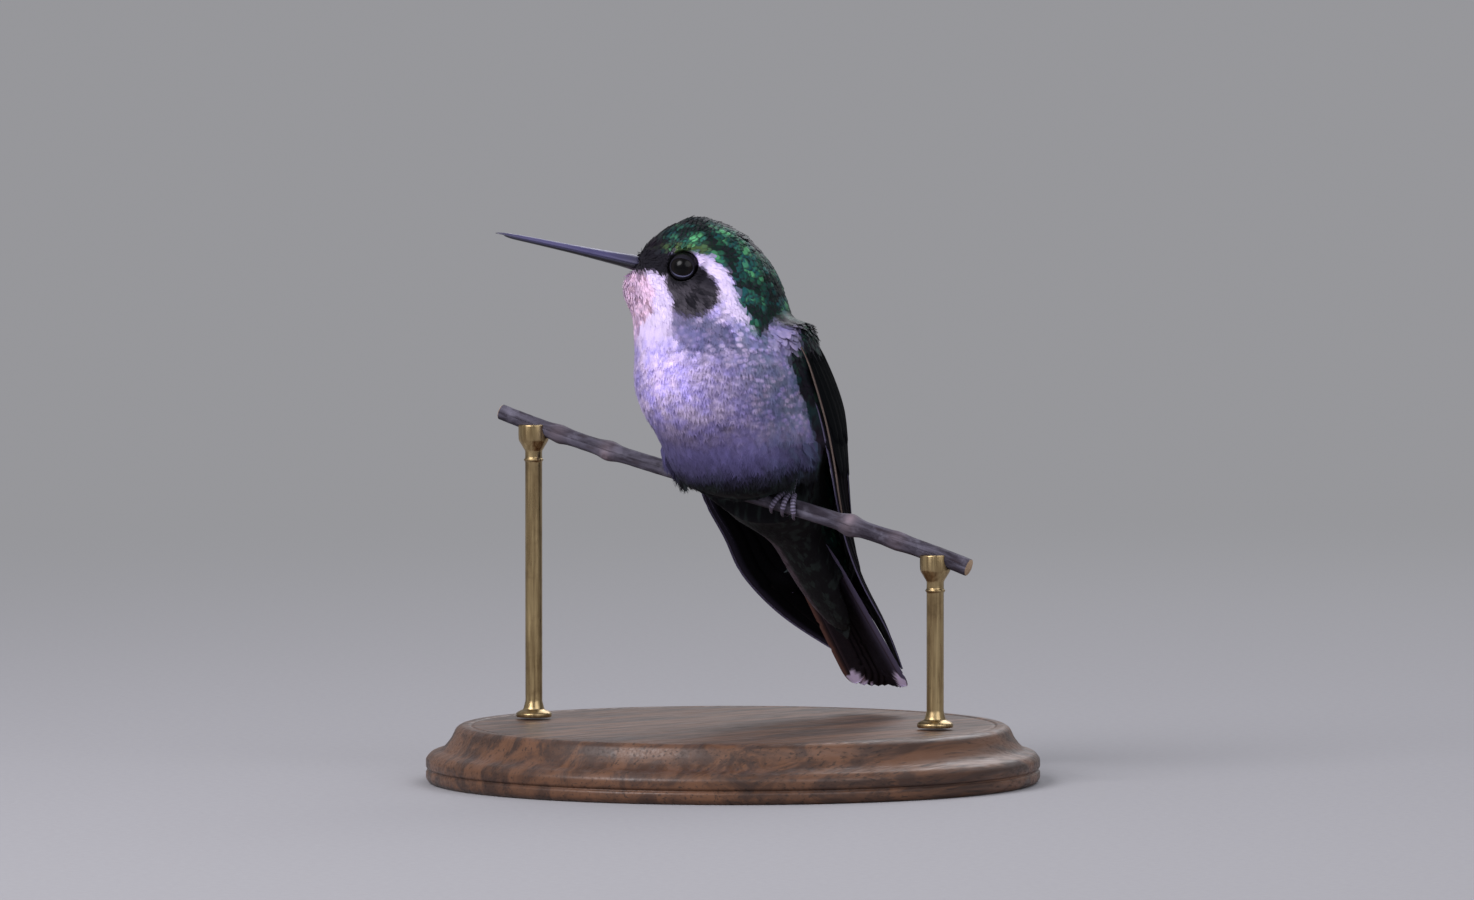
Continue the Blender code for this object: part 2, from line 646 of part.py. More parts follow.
# ---------------------------------------------------------------- the whole
def build_materials():
    return {
        "green": material("green_plumage", (0.03, 0.11, 0.06), 0.45, 0.3),
        "pale": material("pale_plumage", (0.62, 0.55, 0.78), 0.8),
        "grey": material("grey_plumage", (0.2, 0.19, 0.26), 0.8),
        "wing": material("wing_feather", (0.02, 0.022, 0.035), 0.5),
        "covert": material("wing_covert", (0.04, 0.09, 0.08), 0.45, 0.3),
        "tail": material("tail_feather", (0.03, 0.03, 0.045), 0.5),
        "bill": material("bill_horn", (0.06, 0.055, 0.09), 0.35),
        "eye": material("eye_black", (0.005, 0.005, 0.008), 0.08),
        "leg": material("leg_skin", (0.13, 0.11, 0.15), 0.6),
        "claw": material("claw_horn", (0.3, 0.27, 0.33), 0.4),
        "bark": material("twig_bark", (0.16, 0.12, 0.18), 0.8),
        "wood": material("base_wood", (0.16, 0.09, 0.05), 0.4),
        "rod": material("rod_brass", (0.55, 0.42, 0.2), 0.3, 1.0),
    }


def build_body(bird, looks):
    whole = body_mesh()
    w = 60.0  # past the body on every side
    root = in_tail(0.0, RUMP_CUT, 0.0)
    slabs = {
        "head": ("green", block((-w, -w, NECK_TOP + GAP), (w, w, w)), HEAD_CENTRE),
        "neck": ("pale", block((-w, -w, NECK_BOTTOM + GAP), (w, w, NECK_TOP)), (0.0, -1.6, 22.3)),
        "trunk": ("grey", block((-w, -w, -w), (w, w, NECK_BOTTOM)), (0.0, 0.0, 10.0)),
        "rump": ("grey", block((-w, GAP, -w), (w, w, w), TAIL_AXES, root), TAIL_ROOT),
    }
    nodes = {}
    for name, (look, slab, origin) in slabs.items():
        nodes[name] = add(name, whole, bird, looks[look], origin)
        cut(nodes[name], add_cutter(name + "_slab", slab, bird), "INTERSECT")
    below = block((-w, 0.0, -w), (w, w, w), TAIL_AXES, root)
    cut(nodes["trunk"], add_cutter("rump_space", below, bird))
    trench = add_cutter("perch_trench", trench_shape(), bird)
    cut(nodes["trunk"], trench)
    cut(nodes["rump"], trench)
    cut(nodes["rump"], add_cutter("tail_space", tail_shape(GAP), bird))
    return nodes


def build_head(bird, looks, head):
    cut(head, add_cutter("bill_pocket", bill_pocket(), bird))
    origin = tuple(in_head(*BILL_START))
    add("bill_upper", bill_shape(True), bird, looks["bill"], origin)
    add("bill_lower", bill_shape(False), bird, looks["bill"], origin)
    for name, side in (("left", 1.0), ("right", -1.0)):
        centre = eye_centre(side)
        cut(head, add_cutter(f"eye_socket_{name}", ball(centre, EYE_RADIUS + GAP), bird))
        add(f"eye_{name}", ball(centre, EYE_RADIUS), bird, looks["eye"], tuple(centre))


def build_wings(bird, looks):
    layers = (("coverts", covert_layer, "covert"), ("secondaries", secondary_layer, "wing"))
    layers += (("primaries", primary_layer, "wing"),)
    for name, side in (("left", 1.0), ("right", -1.0)):
        x, y, z = WING_STATIONS[0][0]
        for layer, make, look in layers:
            add(f"wing_{name}_{layer}", make(side), bird, looks[look], (side * x, y, z))


def build_feet(bird, looks):
    toes = (("inner", -1.0, 1), ("middle", 0.0, 1), ("outer", 1.0, 1), ("hind", 0.0, -1))
    for name, place in FOOT_PLACES.items():
        add(f"leg_{name}", leg_shape(place), bird, looks["leg"], tuple(twig_point(place)))
        for toe_name, spread, direction in toes:
            toe, claw = toe_and_claw(place, math.copysign(spread, spread * place) * TOE_SPREAD, direction)
            add(f"toe_{name}_{toe_name}", toe, bird, looks["leg"], tuple(twig_point(place)))
            add(f"claw_{name}_{toe_name}", claw, bird, looks["claw"], tuple(twig_point(place)))


def build_stand(bird, looks):
    add("perch", twig_shape(), bird, looks["bark"])
    stand = empty("stand_root", 0.0)
    add("stand_base", base_shape(), stand, looks["wood"], sharp=30.0)
    room = add_cutter("twig_space", twig_shape(GAP), bird)
    for name, place in (("left", ROD_PLACE), ("right", -ROD_PLACE)):
        rod = add(f"stand_rod_{name}", rod_shape(place), stand, looks["rod"], sharp=30.0)
        cut(rod, room)


def main():
    for old in list(bpy.data.objects):
        bpy.data.objects.remove(old)
    looks = build_materials()
    bird = empty("bird_root", PERCH_HEIGHT)
    nodes = build_body(bird, looks)
    build_head(bird, looks, nodes["head"])
    build_wings(bird, looks)
    add("tail", tail_shape(), bird, looks["tail"], TAIL_ROOT)
    build_feet(bird, looks)
    build_stand(bird, looks)
    bpy.context.view_layer.update()


main()
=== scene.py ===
"""The looks of a perched mountain-gem hummingbird on its twig and display stand.

Lengths in the tables are millimetres and become metres through MM.  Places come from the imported
frame: the eyes, the bill and the solids themselves; the wings' and the tail's lines repeat the CAD's.
"""

import json
import math

import bmesh
import bpy
import numpy as np
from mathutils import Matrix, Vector
from mathutils.bvhtree import BVHTree

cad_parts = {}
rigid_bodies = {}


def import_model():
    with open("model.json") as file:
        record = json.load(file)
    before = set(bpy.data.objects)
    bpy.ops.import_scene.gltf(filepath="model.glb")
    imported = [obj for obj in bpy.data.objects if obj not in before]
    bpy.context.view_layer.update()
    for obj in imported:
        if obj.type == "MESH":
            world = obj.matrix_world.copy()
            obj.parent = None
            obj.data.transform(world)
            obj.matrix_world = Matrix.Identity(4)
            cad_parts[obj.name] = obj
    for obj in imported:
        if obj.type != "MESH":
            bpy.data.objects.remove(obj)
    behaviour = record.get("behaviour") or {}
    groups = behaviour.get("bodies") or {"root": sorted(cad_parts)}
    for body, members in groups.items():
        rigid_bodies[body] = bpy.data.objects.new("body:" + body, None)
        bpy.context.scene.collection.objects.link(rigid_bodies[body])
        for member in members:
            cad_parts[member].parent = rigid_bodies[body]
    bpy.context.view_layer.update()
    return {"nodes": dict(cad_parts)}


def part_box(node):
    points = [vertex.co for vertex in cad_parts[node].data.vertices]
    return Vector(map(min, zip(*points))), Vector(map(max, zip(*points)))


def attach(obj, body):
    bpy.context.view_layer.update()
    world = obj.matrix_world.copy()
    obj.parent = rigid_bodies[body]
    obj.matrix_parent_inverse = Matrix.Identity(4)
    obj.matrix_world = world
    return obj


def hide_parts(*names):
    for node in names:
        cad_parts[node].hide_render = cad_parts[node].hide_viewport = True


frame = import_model()
nodes = frame["nodes"]

MM = 0.001
SIDES = (("left", 1.0), ("right", -1.0))
FLESH = ("head", "neck", "trunk", "rump", "wing_left_coverts", "wing_right_coverts")
SPARSE = 1.0  # feathers stand this much further apart while trying things


# ---------------------------------------------------------------- numbers
def unit(v):
    v = np.asarray(v, float)
    return v / np.maximum(np.linalg.norm(v, axis=-1, keepdims=True), 1e-12)


def ease(x, low, high):
    t = np.clip((np.asarray(x, float) - low) / (high - low), 0.0, 1.0)
    return t * t * (3.0 - 2.0 * t)


def line_distance(points, line):
    """Distance from 2-D points to a polyline, and the share of its run where the nearest point lies."""
    best = np.full(len(points), 1e9)
    share = np.zeros(len(points))
    line = np.asarray(line, float)
    for index in range(len(line) - 1):
        start, step = line[index], line[index + 1] - line[index]
        t = np.clip((points - start) @ step / (step @ step), 0.0, 1.0)
        distance = np.linalg.norm(points - start - t[:, None] * step, axis=1)
        share = np.where(distance < best, (index + t) / (len(line) - 1), share)
        best = np.minimum(best, distance)
    return best, share


def curve_through(points, share):
    """A Catmull-Rom curve through evenly spaced points, read at a share of its run."""
    points = np.asarray(points, float)
    spans = len(points) - 1
    at = min(max(share * spans, 0.0), spans - 1e-9)
    index = int(at)
    t = at - index
    p0 = points[max(index - 1, 0)]
    p1, p2 = points[index], points[index + 1]
    p3 = points[min(index + 2, spans)]
    slope = (p2 - p0) * t
    bend = (2 * p0 - 5 * p1 + 4 * p2 - p3) * t**2
    twist = (3 * (p1 - p2) + p3 - p0) * t**3
    return 0.5 * (2 * p1 + slope + bend + twist)


def round_angles(count):
    """Evenly spaced angles round a full turn."""
    return np.linspace(0.0, 2 * math.pi, count, endpoint=False)


# ---------------------------------------------------------------- frames on the bird
def vectors_of(mesh, key):
    vectors = np.zeros(len(mesh.vertices) * 3)
    mesh.vertices.foreach_get(key, vectors)
    return vectors.reshape(-1, 3)


def points_of(mesh):
    """The vertices' places in millimetres."""
    return vectors_of(mesh, "co") / MM


def node_points(name):
    return points_of(nodes[name].data)


def middle(name):
    low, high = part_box(name)
    return 0.5 * (np.array(low) + np.array(high)) / MM


PERCH = np.array([0.0, 0.0, 41.0])  # the point on the twig's axis under the bird
HEAD_TURN = math.radians(48)
HEAD_LIFT = math.radians(12.5)
TAIL_ROOT = PERCH + (0.3, 10.0, -2.0)
TAIL_DROP = math.radians(51.3)


def head_axes():
    """Forward along the bill, left, and up, as rows."""
    level = np.array([-math.sin(HEAD_TURN), -math.cos(HEAD_TURN), 0.0])
    up = np.array([0.0, 0.0, 1.0])
    forward = level * math.cos(HEAD_LIFT) + up * math.sin(HEAD_LIFT)
    left = np.cross(up, level)
    return np.array([forward, left, np.cross(forward, left)])


def tail_axes():
    """Left, along the tail to its tip, and out of the tail's upper side, as rows."""
    along = np.array([0.0, math.cos(TAIL_DROP), -math.sin(TAIL_DROP)])
    left = np.array([1.0, 0.0, 0.0])
    return np.array([left, along, np.cross(left, along)])


HEAD_AXES = head_axes()
TAIL_AXES = tail_axes()
EYES = {name: middle(f"eye_{name}") for name, _ in SIDES}
EYE_RADIUS = 0.5 * (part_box("eye_left")[1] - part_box("eye_left")[0]).z / MM
EYE_MIDDLE = 0.5 * (EYES["left"] + EYES["right"])


def to_head(points):
    """Forward, left and up from the point between the eyes."""
    return (np.asarray(points) - EYE_MIDDLE) @ HEAD_AXES.T


upper_bill = to_head(node_points("bill_upper"))
lower_bill = to_head(node_points("bill_lower"))
BILL_LENGTH = 20.2
BILL_BASE = upper_bill[:, 0].max() - BILL_LENGTH
BILL_LEVEL = 0.5 * (upper_bill[:, 2].max() + lower_bill[:, 2].min())


def from_head(forward, left, up):
    return EYE_MIDDLE + np.array([forward, left, up]) @ HEAD_AXES


def to_tail(points):
    return (np.asarray(points) - TAIL_ROOT) @ TAIL_AXES.T


def from_tail(left, along, above):
    return TAIL_ROOT + np.array([left, along, above]) @ TAIL_AXES


# ---------------------------------------------------------------- the twig's line
TWIG_RADIUS = 1.15
TWIG_HALF_LENGTH = 35.0
TWIG_YAW = math.radians(20)
TWIG_SLOPE = 0.264
TWIG_STEEPENING = 2.6e-5
TWIG_SWAY = 0.8
TWIG_SWAY_LENGTH = 22.0
TWIG_TAPER = 0.0016
TWIG_KNOTS = ((-26.0, 0.2), (-18.6, 0.32), (17.6, 0.42), (24.5, 0.15))  # place along the twig, swelling
KNOT_WIDTH = 1.3
FOOT_PLACES = {"left": 8.2, "right": -5.4}


def twig_point(place):
    """Points on the twig's axis, at places measured along it from under the bird."""
    place = np.asarray(place, float)
    sway = TWIG_SWAY * np.sin(place / TWIG_SWAY_LENGTH) ** 3
    x = place * math.cos(TWIG_YAW) - sway * math.sin(TWIG_YAW)
    y = place * math.sin(TWIG_YAW) + sway * math.cos(TWIG_YAW)
    return PERCH + np.stack([x, y, -TWIG_SLOPE * place - TWIG_STEEPENING * place**3], axis=-1)


def twig_axes(place):
    """Level across the twig toward the bird's back, and up out of it."""
    place = np.asarray(place, float)
    along = unit(twig_point(place + 0.1) - twig_point(place - 0.1))
    across = unit(np.cross([0.0, 0.0, 1.0], along))
    return across, np.cross(along, across)


def twig_radius(place):
    swelling = sum(size * np.exp(-(((place - at) / KNOT_WIDTH) ** 2)) for at, size in TWIG_KNOTS)
    return TWIG_RADIUS * (1.0 + TWIG_TAPER * place) + swelling


def to_twig(points):
    """Across and up from the twig's axis."""
    offset = np.asarray(points) - PERCH
    place = offset[:, 0] * math.cos(TWIG_YAW) + offset[:, 1] * math.sin(TWIG_YAW)
    across, up = twig_axes(place)
    spoke = points - twig_point(place)
    return np.stack([np.sum(spoke * across, axis=1), np.sum(spoke * up, axis=1)], axis=1)


def around_twig(place, turn, radius):
    """A point at an angle round the twig: 0 is on top, positive turns run down its front."""
    across, up = twig_axes(place)
    return twig_point(place) + radius * (math.cos(turn) * up - math.sin(turn) * across)


# ---------------------------------------------------------------- meshes
def new_object(name, content):
    piece = bpy.data.objects.new(name, content)
    bpy.context.scene.collection.objects.link(piece)
    return piece


def mesh_from(name, vertices, faces, outward=True):
    """A smooth mesh from millimetre points."""
    mesh = bpy.data.meshes.new(name)
    mesh.from_pydata([tuple(v) for v in np.asarray(vertices, float) * MM], [], faces)
    if outward:
        shaping = bmesh.new()
        shaping.from_mesh(mesh)
        bmesh.ops.recalc_face_normals(shaping, faces=shaping.faces)
        shaping.to_mesh(mesh)
        shaping.free()
    mesh.update()
    mesh.shade_smooth()
    return mesh


def applied(piece):
    """The piece with its modifiers made part of its mesh."""
    graph = bpy.context.evaluated_depsgraph_get()
    mesh = bpy.data.meshes.new_from_object(piece.evaluated_get(graph), depsgraph=graph)
    piece.modifiers.clear()
    piece.data = mesh
    return piece


def move_points(mesh, points):
    mesh.vertices.foreach_set("co", (np.asarray(points) * MM).ravel())
    mesh.update()


def put_numbers(mesh, name, values):
    """A number or a vector at each vertex, under a name that materials and trees can read."""
    values = np.asarray(values, float)
    kind = "FLOAT" if values.ndim == 1 else "FLOAT_VECTOR"
    attribute = mesh.attributes.new(name, kind, "POINT")
    attribute.data.foreach_set("value" if values.ndim == 1 else "vector", values.astype(np.float32).ravel())


def joined(parts):
    """Vertices and faces of several shapes as one list each."""
    vertices, faces = [], []
    for part_vertices, part_faces in parts:
        shift = len(vertices)
        vertices.extend(tuple(v) for v in part_vertices)
        faces.extend(tuple(index + shift for index in face) for face in part_faces)
    return vertices, faces


def ring_faces(rows, sides):
    """Quads between closed rings of equal length."""
    faces = []
    for low in range(0, (rows - 1) * sides, sides):
        for side in range(sides):
            after = (side + 1) % sides
            faces.append((low + side, low + after, low + sides + after, low + sides + side))
    return faces


def loft(rings):
    """A skin over closed rings of equal length, with its two ends closed to a middle point."""
    sides = len(rings[0])
    vertices = [tuple(point) for ring in rings for point in ring]
    faces = ring_faces(len(rings), sides)
    for row in (0, len(rings) - 1):
        vertices.append(tuple(np.mean(np.asarray(rings[row]), axis=0)))
        at = len(vertices) - 1
        faces.extend((row * sides + s, row * sides + (s + 1) % sides, at) for s in range(sides))
    return vertices, faces


FIRST_HINT = (0.31, 0.17, 0.93)  # not quite along any path here


def carried_frames(path):
    """Normals and second normals carried along a path without twisting."""
    path = np.asarray(path, float)
    tangents = unit(np.gradient(path, axis=0))
    normals = np.zeros_like(path)
    normal = np.cross(tangents[0], unit(FIRST_HINT))
    for index, tangent in enumerate(tangents):
        normal = unit(normal - tangent * np.dot(normal, tangent))
        normals[index] = normal
    return normals, np.cross(tangents, normals)


def tube(path, radii, sides, flatten=1.0):
    """A round bar along a path.  A radius may be one number or one for each side of its ring."""
    normals, seconds = carried_frames(path)
    angles = round_angles(sides)
    rings = []
    for centre, normal, second, radius in zip(path, normals, seconds, radii):
        spokes = np.cos(angles)[:, None] * normal + flatten * np.sin(angles)[:, None] * second
        rings.append(np.asarray(centre) + spokes * np.reshape(radius, (-1, 1)))
    return loft(rings)


def turned(profile, sides, centre=(0.0, 0.0)):
    """A solid of revolution about an upright line, from (radius, height) pairs, bottom to top."""
    angles = round_angles(sides)
    x, y = centre
    rings = [[(x + r * math.cos(a), y + r * math.sin(a), z) for a in angles] for r, z in profile]
    return loft(rings)


ARC_POINTS = 4


def rounded_profile(corners, radius):
    """(radius, height) corners with each inner corner replaced by a small arc."""
    corners = np.asarray(corners, float)
    points = [corners[0]]
    for before, here, after in zip(corners, corners[1:], corners[2:]):
        reach = min(radius, 0.45 * np.linalg.norm(here - before), 0.45 * np.linalg.norm(after - here))
        start = here + unit(before - here) * reach
        end = here + unit(after - here) * reach
        for t in np.linspace(0.0, 1.0, ARC_POINTS):
            points.append((1 - t) ** 2 * start + 2 * t * (1 - t) * here + t * t * end)
    points.append(corners[-1])
    return points


def keep(piece, slot, *replaced):
    """Every piece rides on the one body and hides the parts it replaces; its slot is not used."""
    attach(piece, "root")
    if replaced:
        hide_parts(*replaced)
    return piece


# ---------------------------------------------------------------- shader building
def tone(red, green, blue):
    """A screen colour from 0 to 255, as the linear colour that shaders use."""
    shares = np.array([red, green, blue]) / 255.0
    linear = np.where(shares > 0.04045, ((shares + 0.055) / 1.055) ** 2.4, shares / 12.92)
    return tuple(float(c) for c in linear)


class Shade:
    """Short calls that add and link nodes in one tree."""

    def __init__(self, tree):
        self.tree = tree

    def set(self, socket, value):
        if isinstance(value, bpy.types.NodeSocket):
            self.tree.links.new(value, socket)
        elif socket.type == "RGBA":
            socket.default_value = (*value, 1.0)
        else:
            socket.default_value = value

    def node(self, kind, inputs=(), **settings):
        """A node with its settings, then values or links for some of its inputs."""
        made = self.tree.nodes.new(kind)
        for key, value in settings.items():
            setattr(made, key, value)
        for key, value in dict(inputs).items():
            self.set(made.inputs[key], value)
        return made

    def math(self, operation, a, b=0.0):
        return self.node("ShaderNodeMath", {0: a, 1: b}, operation=operation).outputs[0]

    def plus(self, a, b):
        return self.math("ADD", a, b)

    def minus(self, a, b):
        return self.math("SUBTRACT", a, b)

    def times(self, *values):
        total = values[0]
        for value in values[1:]:
            total = self.math("MULTIPLY", total, value)
        return total

    def scaled(self, vector, amount):
        inputs = {0: vector, "Scale": amount}
        return self.node("ShaderNodeVectorMath", inputs, operation="SCALE").outputs[0]

    def ramp(self, value, low, high, out_low=0.0, out_high=1.0):
        inputs = dict(enumerate((value, low, high, out_low, out_high)))
        return self.node("ShaderNodeMapRange", inputs, interpolation_type="SMOOTHSTEP").outputs[0]

    def mix(self, factor, a, b):
        return self.node("ShaderNodeMix", {"Factor": factor, 6: a, 7: b}, data_type="RGBA").outputs[2]

    def attribute(self, name, output="Fac"):
        return self.node("ShaderNodeAttribute", attribute_name=name).outputs[output]

    def split(self, vector):
        return self.node("ShaderNodeSeparateXYZ", {0: vector}).outputs

    def place(self):
        return self.node("ShaderNodeTexCoord").outputs["Object"]

    def stretched(self, vector, scale, turn=(0.0, 0.0, 0.0)):
        inputs = {"Vector": vector, "Scale": scale, "Rotation": turn}
        return self.node("ShaderNodeMapping", inputs).outputs[0]

    def noise(self, scale, detail=3.0, roughness=0.55, vector=None, distortion=0.0):
        inputs = {"Vector": self.place() if vector is None else vector, "Scale": scale}
        inputs |= {"Detail": detail, "Roughness": roughness, "Distortion": distortion}
        return self.node("ShaderNodeTexNoise", inputs).outputs["Fac"]

    def cells(self, scale, vector=None):
        inputs = {"Vector": self.place() if vector is None else vector, "Scale": scale}
        return self.node("ShaderNodeTexVoronoi", inputs).outputs["Distance"]

    def bump(self, height, strength, distance):
        inputs = {"Height": height, "Strength": strength, "Distance": distance}
        return self.node("ShaderNodeBump", inputs).outputs[0]

    def use(self, group, **values):
        """A copy of a node group with its own values."""
        inputs = {name.replace("_", " ").title(): value for name, value in values.items()}
        return self.node("ShaderNodeGroup", inputs, node_tree=group).outputs

    def dress(self, sockets, colour, roughness, height, strength, distance):
        """Feeds what varies over a surface: its colour, its roughness and its relief."""
        self.set(sockets["Base Color"], colour)
        self.set(sockets["Roughness"], roughness)
        self.set(sockets["Normal"], self.bump(height, strength, distance))


def new_group(name, inputs, outputs):
    """A shader group with named sockets.  Inputs are (name, kind, value) and outputs (name, kind)."""
    tree = bpy.data.node_groups.new(name, "ShaderNodeTree")
    kinds = {"number": "NodeSocketFloat", "colour": "NodeSocketColor", "vector": "NodeSocketVector"}
    for socket_name, kind, value in inputs:
        socket = tree.interface.new_socket(socket_name, in_out="INPUT", socket_type=kinds[kind])
        socket.default_value = (*value, 1.0) if kind == "colour" else value
    for socket_name, kind in outputs:
        tree.interface.new_socket(socket_name, in_out="OUTPUT", socket_type=kinds[kind])
    shade = Shade(tree)
    return tree, shade, shade.node("NodeGroupInput").outputs, shade.node("NodeGroupOutput").inputs


def new_material(name, **settings):
    """A Principled material.  The settings name its sockets and hold what is the same all over."""
    made = bpy.data.materials.new(name)
    made.use_nodes = True
    shade = Shade(made.node_tree)
    sockets = made.node_tree.nodes["Principled BSDF"].inputs
    for key, value in settings.items():
        shade.set(sockets[key.replace("_", " ")], value)
    return made, shade, sockets


# ---------------------------------------------------------------- shared effects
DUST = tone(150, 145, 150)


def handling_group():
    """Uneven tone over a surface: broad cloudiness, fine speckle, and dust that lies on what faces up."""
    tree, shade, given, out = new_group(
        "cloud_and_dust",
        [
            ("Color", "colour", (0.5, 0.5, 0.5)),
            ("Cloud Scale", "number", 200.0),
            ("Cloud", "number", 0.2),
            ("Speckle", "number", 0.1),
            ("Dust", "number", 0.0),
        ],
        [("Color", "colour")],
    )
    cloud = shade.noise(given["Cloud Scale"], 3.0, 0.5)
    speckle = shade.noise(shade.times(given["Cloud Scale"], 9.0), 2.0, 0.6)
    lift = shade.times(shade.minus(cloud, 0.5), given["Cloud"])
    grit = shade.times(shade.minus(speckle, 0.5), given["Speckle"])
    level = shade.plus(shade.plus(lift, grit), 1.0)
    uneven = shade.scaled(given["Color"], level)
    facing = shade.split(shade.node("ShaderNodeNewGeometry").outputs["Normal"])["Z"]
    settled = shade.times(shade.ramp(facing, 0.3, 1.0), given["Dust"], shade.ramp(speckle, 0.35, 0.6))
    shade.set(out["Color"], shade.mix(settled, uneven, DUST))
    return tree


def vane_group():
    """What a feather's web shows: slanting barbs on each side of the shaft, read from its vane numbers."""
    tree, shade, given, out = new_group(
        "web_of_barbs",
        [("Barbs", "number", 20.0), ("Slant", "number", 0.5)],
        [("Height", "number"), ("Across", "number"), ("Along", "number")],
    )
    vane = shade.split(shade.attribute("vane", "Vector"))
    across = shade.math("ABSOLUTE", vane["X"])
    run = shade.minus(vane["Y"], shade.times(across, given["Slant"]))
    wave = shade.math("SINE", shade.times(run, given["Barbs"], 2 * math.pi))
    shade.set(out["Height"], shade.times(wave, shade.ramp(across, 0.02, 0.2)))
    shade.set(out["Across"], across)
    shade.set(out["Along"], vane["Y"])
    return tree


PALE = tone(238, 218, 255)
LAVENDER = tone(170, 158, 255)
BELLY_GREY = tone(92, 86, 132)
# Near black of the underside: partly the bird's own dark grey, partly painted shade under the body.
DARK_UNDERSIDE_AND_SHADE = tone(19, 19, 24)
DARK_UNDERSIDE_AND_SHADE_GREEN = tone(38, 46, 46)
BUFF = tone(244, 208, 236)
BUFF_STREAK = tone(122, 86, 102)
SCALLOP_GREY = tone(80, 74, 128)
SCALLOP_GREEN = tone(78, 100, 122)
WHITE = tone(226, 210, 246)
SOOT = tone(25, 23, 31)
CHEEK_WARM = tone(70, 66, 74)
BRONZE_DARK = tone(36, 27, 40)
OLIVE = tone(74, 92, 54)
GREEN_DEEP = tone(19, 38, 34)
GREEN_MID = tone(34, 80, 60)
# Painted glint on the iridescent green.
GREEN_PAINTED_GLINT = tone(78, 148, 102)
GREEN_BLUE = tone(34, 88, 92)


# How fine each pattern is: repeats in a metre.
PATCH_SCALE = 420.0
COMBED_SCALE = 1300.0
BAND_SCALE = 820.0
THROAT_LINE_SCALE = 1700.0
SCALLOP_SCALE = 880.0
MOTTLE_SCALE = 620.0


def plumage_group():
    """The bird's markings.  Skin and feathers carry the same zone numbers, so both show the same pattern."""
    tree, shade, given, out = new_group(
        "markings",
        [("Rim", "number", 1.0)],
        [("Color", "colour"), ("Roughness", "number"), ("Metallic", "number"), ("Height", "number")],
    )
    zone = {name: shade.attribute(name) for name in ZONES}
    tint = shade.attribute("tint")
    comb = shade.attribute("comb", "Vector")
    web = shade.use(WEB, barbs=9.0, slant=0.45)
    patch = shade.ramp(shade.noise(PATCH_SCALE, 3.0, 0.6), 0.35, 0.65)
    combed = shade.noise(COMBED_SCALE, 3.0, 0.6, comb)
    bands = shade.noise(BAND_SCALE, 2.0, 0.5, comb)

    pale = shade.mix(shade.times(patch, 0.6), PALE, LAVENDER)
    # The grey zone: the bird's grey belly, darkened further by painted shade low down and on the sides.
    colour = shade.mix(zone["grey"], pale, BELLY_GREY)
    # Painted shade under the body, laid over the bird's own dark underside.
    colour = shade.mix(zone["dusk"], colour, shade.mix(shade.ramp(bands, 0.48, 0.66), DARK_UNDERSIDE_AND_SHADE, DARK_UNDERSIDE_AND_SHADE_GREEN))
    lines = shade.noise(THROAT_LINE_SCALE, 2.0, 0.5, comb)
    buff = shade.mix(shade.times(shade.ramp(lines, 0.5, 0.6), 0.65), BUFF, BUFF_STREAK)
    colour = shade.mix(zone["buff"], colour, buff)

    cells = shade.cells(SCALLOP_SCALE, shade.stretched(shade.place(), (1.0, 1.0, 1.5)))
    broken = shade.plus(cells, shade.times(combed, 0.8))
    scallop = shade.ramp(broken, 0.66, 0.98)
    spot = shade.mix(zone["flank"], SCALLOP_GREY, SCALLOP_GREEN)
    colour = shade.mix(shade.times(scallop, zone["mottle"], 0.9), colour, spot)
    mottles = shade.ramp(shade.noise(MOTTLE_SCALE, 2.0, 0.5), 0.45, 0.6)
    colour = shade.mix(shade.times(zone["flank"], mottles, 0.36), colour, SCALLOP_GREEN)

    shine = shade.mix(shade.ramp(bands, 0.44, 0.56), GREEN_DEEP, shade.mix(patch, GREEN_MID, GREEN_BLUE))
    # Painted glint: the brightest green, where the bands and the feathers' tints are high, stands for light
    # glancing off the iridescent green.
    painted_glint = shade.times(shade.ramp(bands, 0.52, 0.66), shade.ramp(tint, 0.3, 0.9))
    shine = shade.mix(painted_glint, shine, GREEN_PAINTED_GLINT)
    shine = shade.mix(shade.times(zone["olive"], shade.ramp(combed, 0.35, 0.6)), shine, OLIVE)
    rim = shade.math("MAXIMUM", shade.ramp(web["Across"], 0.5, 0.95), shade.ramp(web["Along"], 0.74, 0.97))
    shine = shade.mix(shade.times(rim, given["Rim"], 0.75), shine, BRONZE_DARK)
    shine = shade.mix(zone["bronze"], shine, shade.mix(patch, BRONZE_DARK, SOOT))
    colour = shade.mix(zone["green"], colour, shine)

    soot = shade.mix(shade.times(shade.ramp(combed, 0.35, 0.6), zone["warm"]), SOOT, CHEEK_WARM)
    colour = shade.mix(zone["dark"], colour, soot)
    colour = shade.mix(zone["white"], colour, WHITE)
    lightness = shade.plus(shade.times(tint, 0.1), shade.times(combed, 1.1))

    gloss = shade.times(zone["green"], shade.minus(1.0, zone["white"]))
    gloss = shade.times(gloss, shade.minus(1.0, shade.times(zone["dark"], 0.9)))
    shade.set(out["Color"], shade.scaled(colour, shade.plus(lightness, 0.4)))
    shade.set(out["Metallic"], shade.times(gloss, 0.5))
    shade.set(out["Roughness"], shade.minus(0.8, shade.times(gloss, 0.34)))
    shade.set(out["Height"], web["Height"])
    return tree


ZONES = ("grey", "dusk", "buff", "mottle", "flank", "green", "olive", "bronze", "dark", "warm", "white")
CLOUD = handling_group()
WEB = vane_group()
MARKINGS = plumage_group()


def clouded(shade, colour, scale, cloud, speckle, dust=0.0):
    """A colour made uneven by the shared cloudiness."""
    values = {"color": colour, "cloud_scale": scale, "cloud": cloud, "speckle": speckle, "dust": dust}
    return shade.use(CLOUD, **values)["Color"]


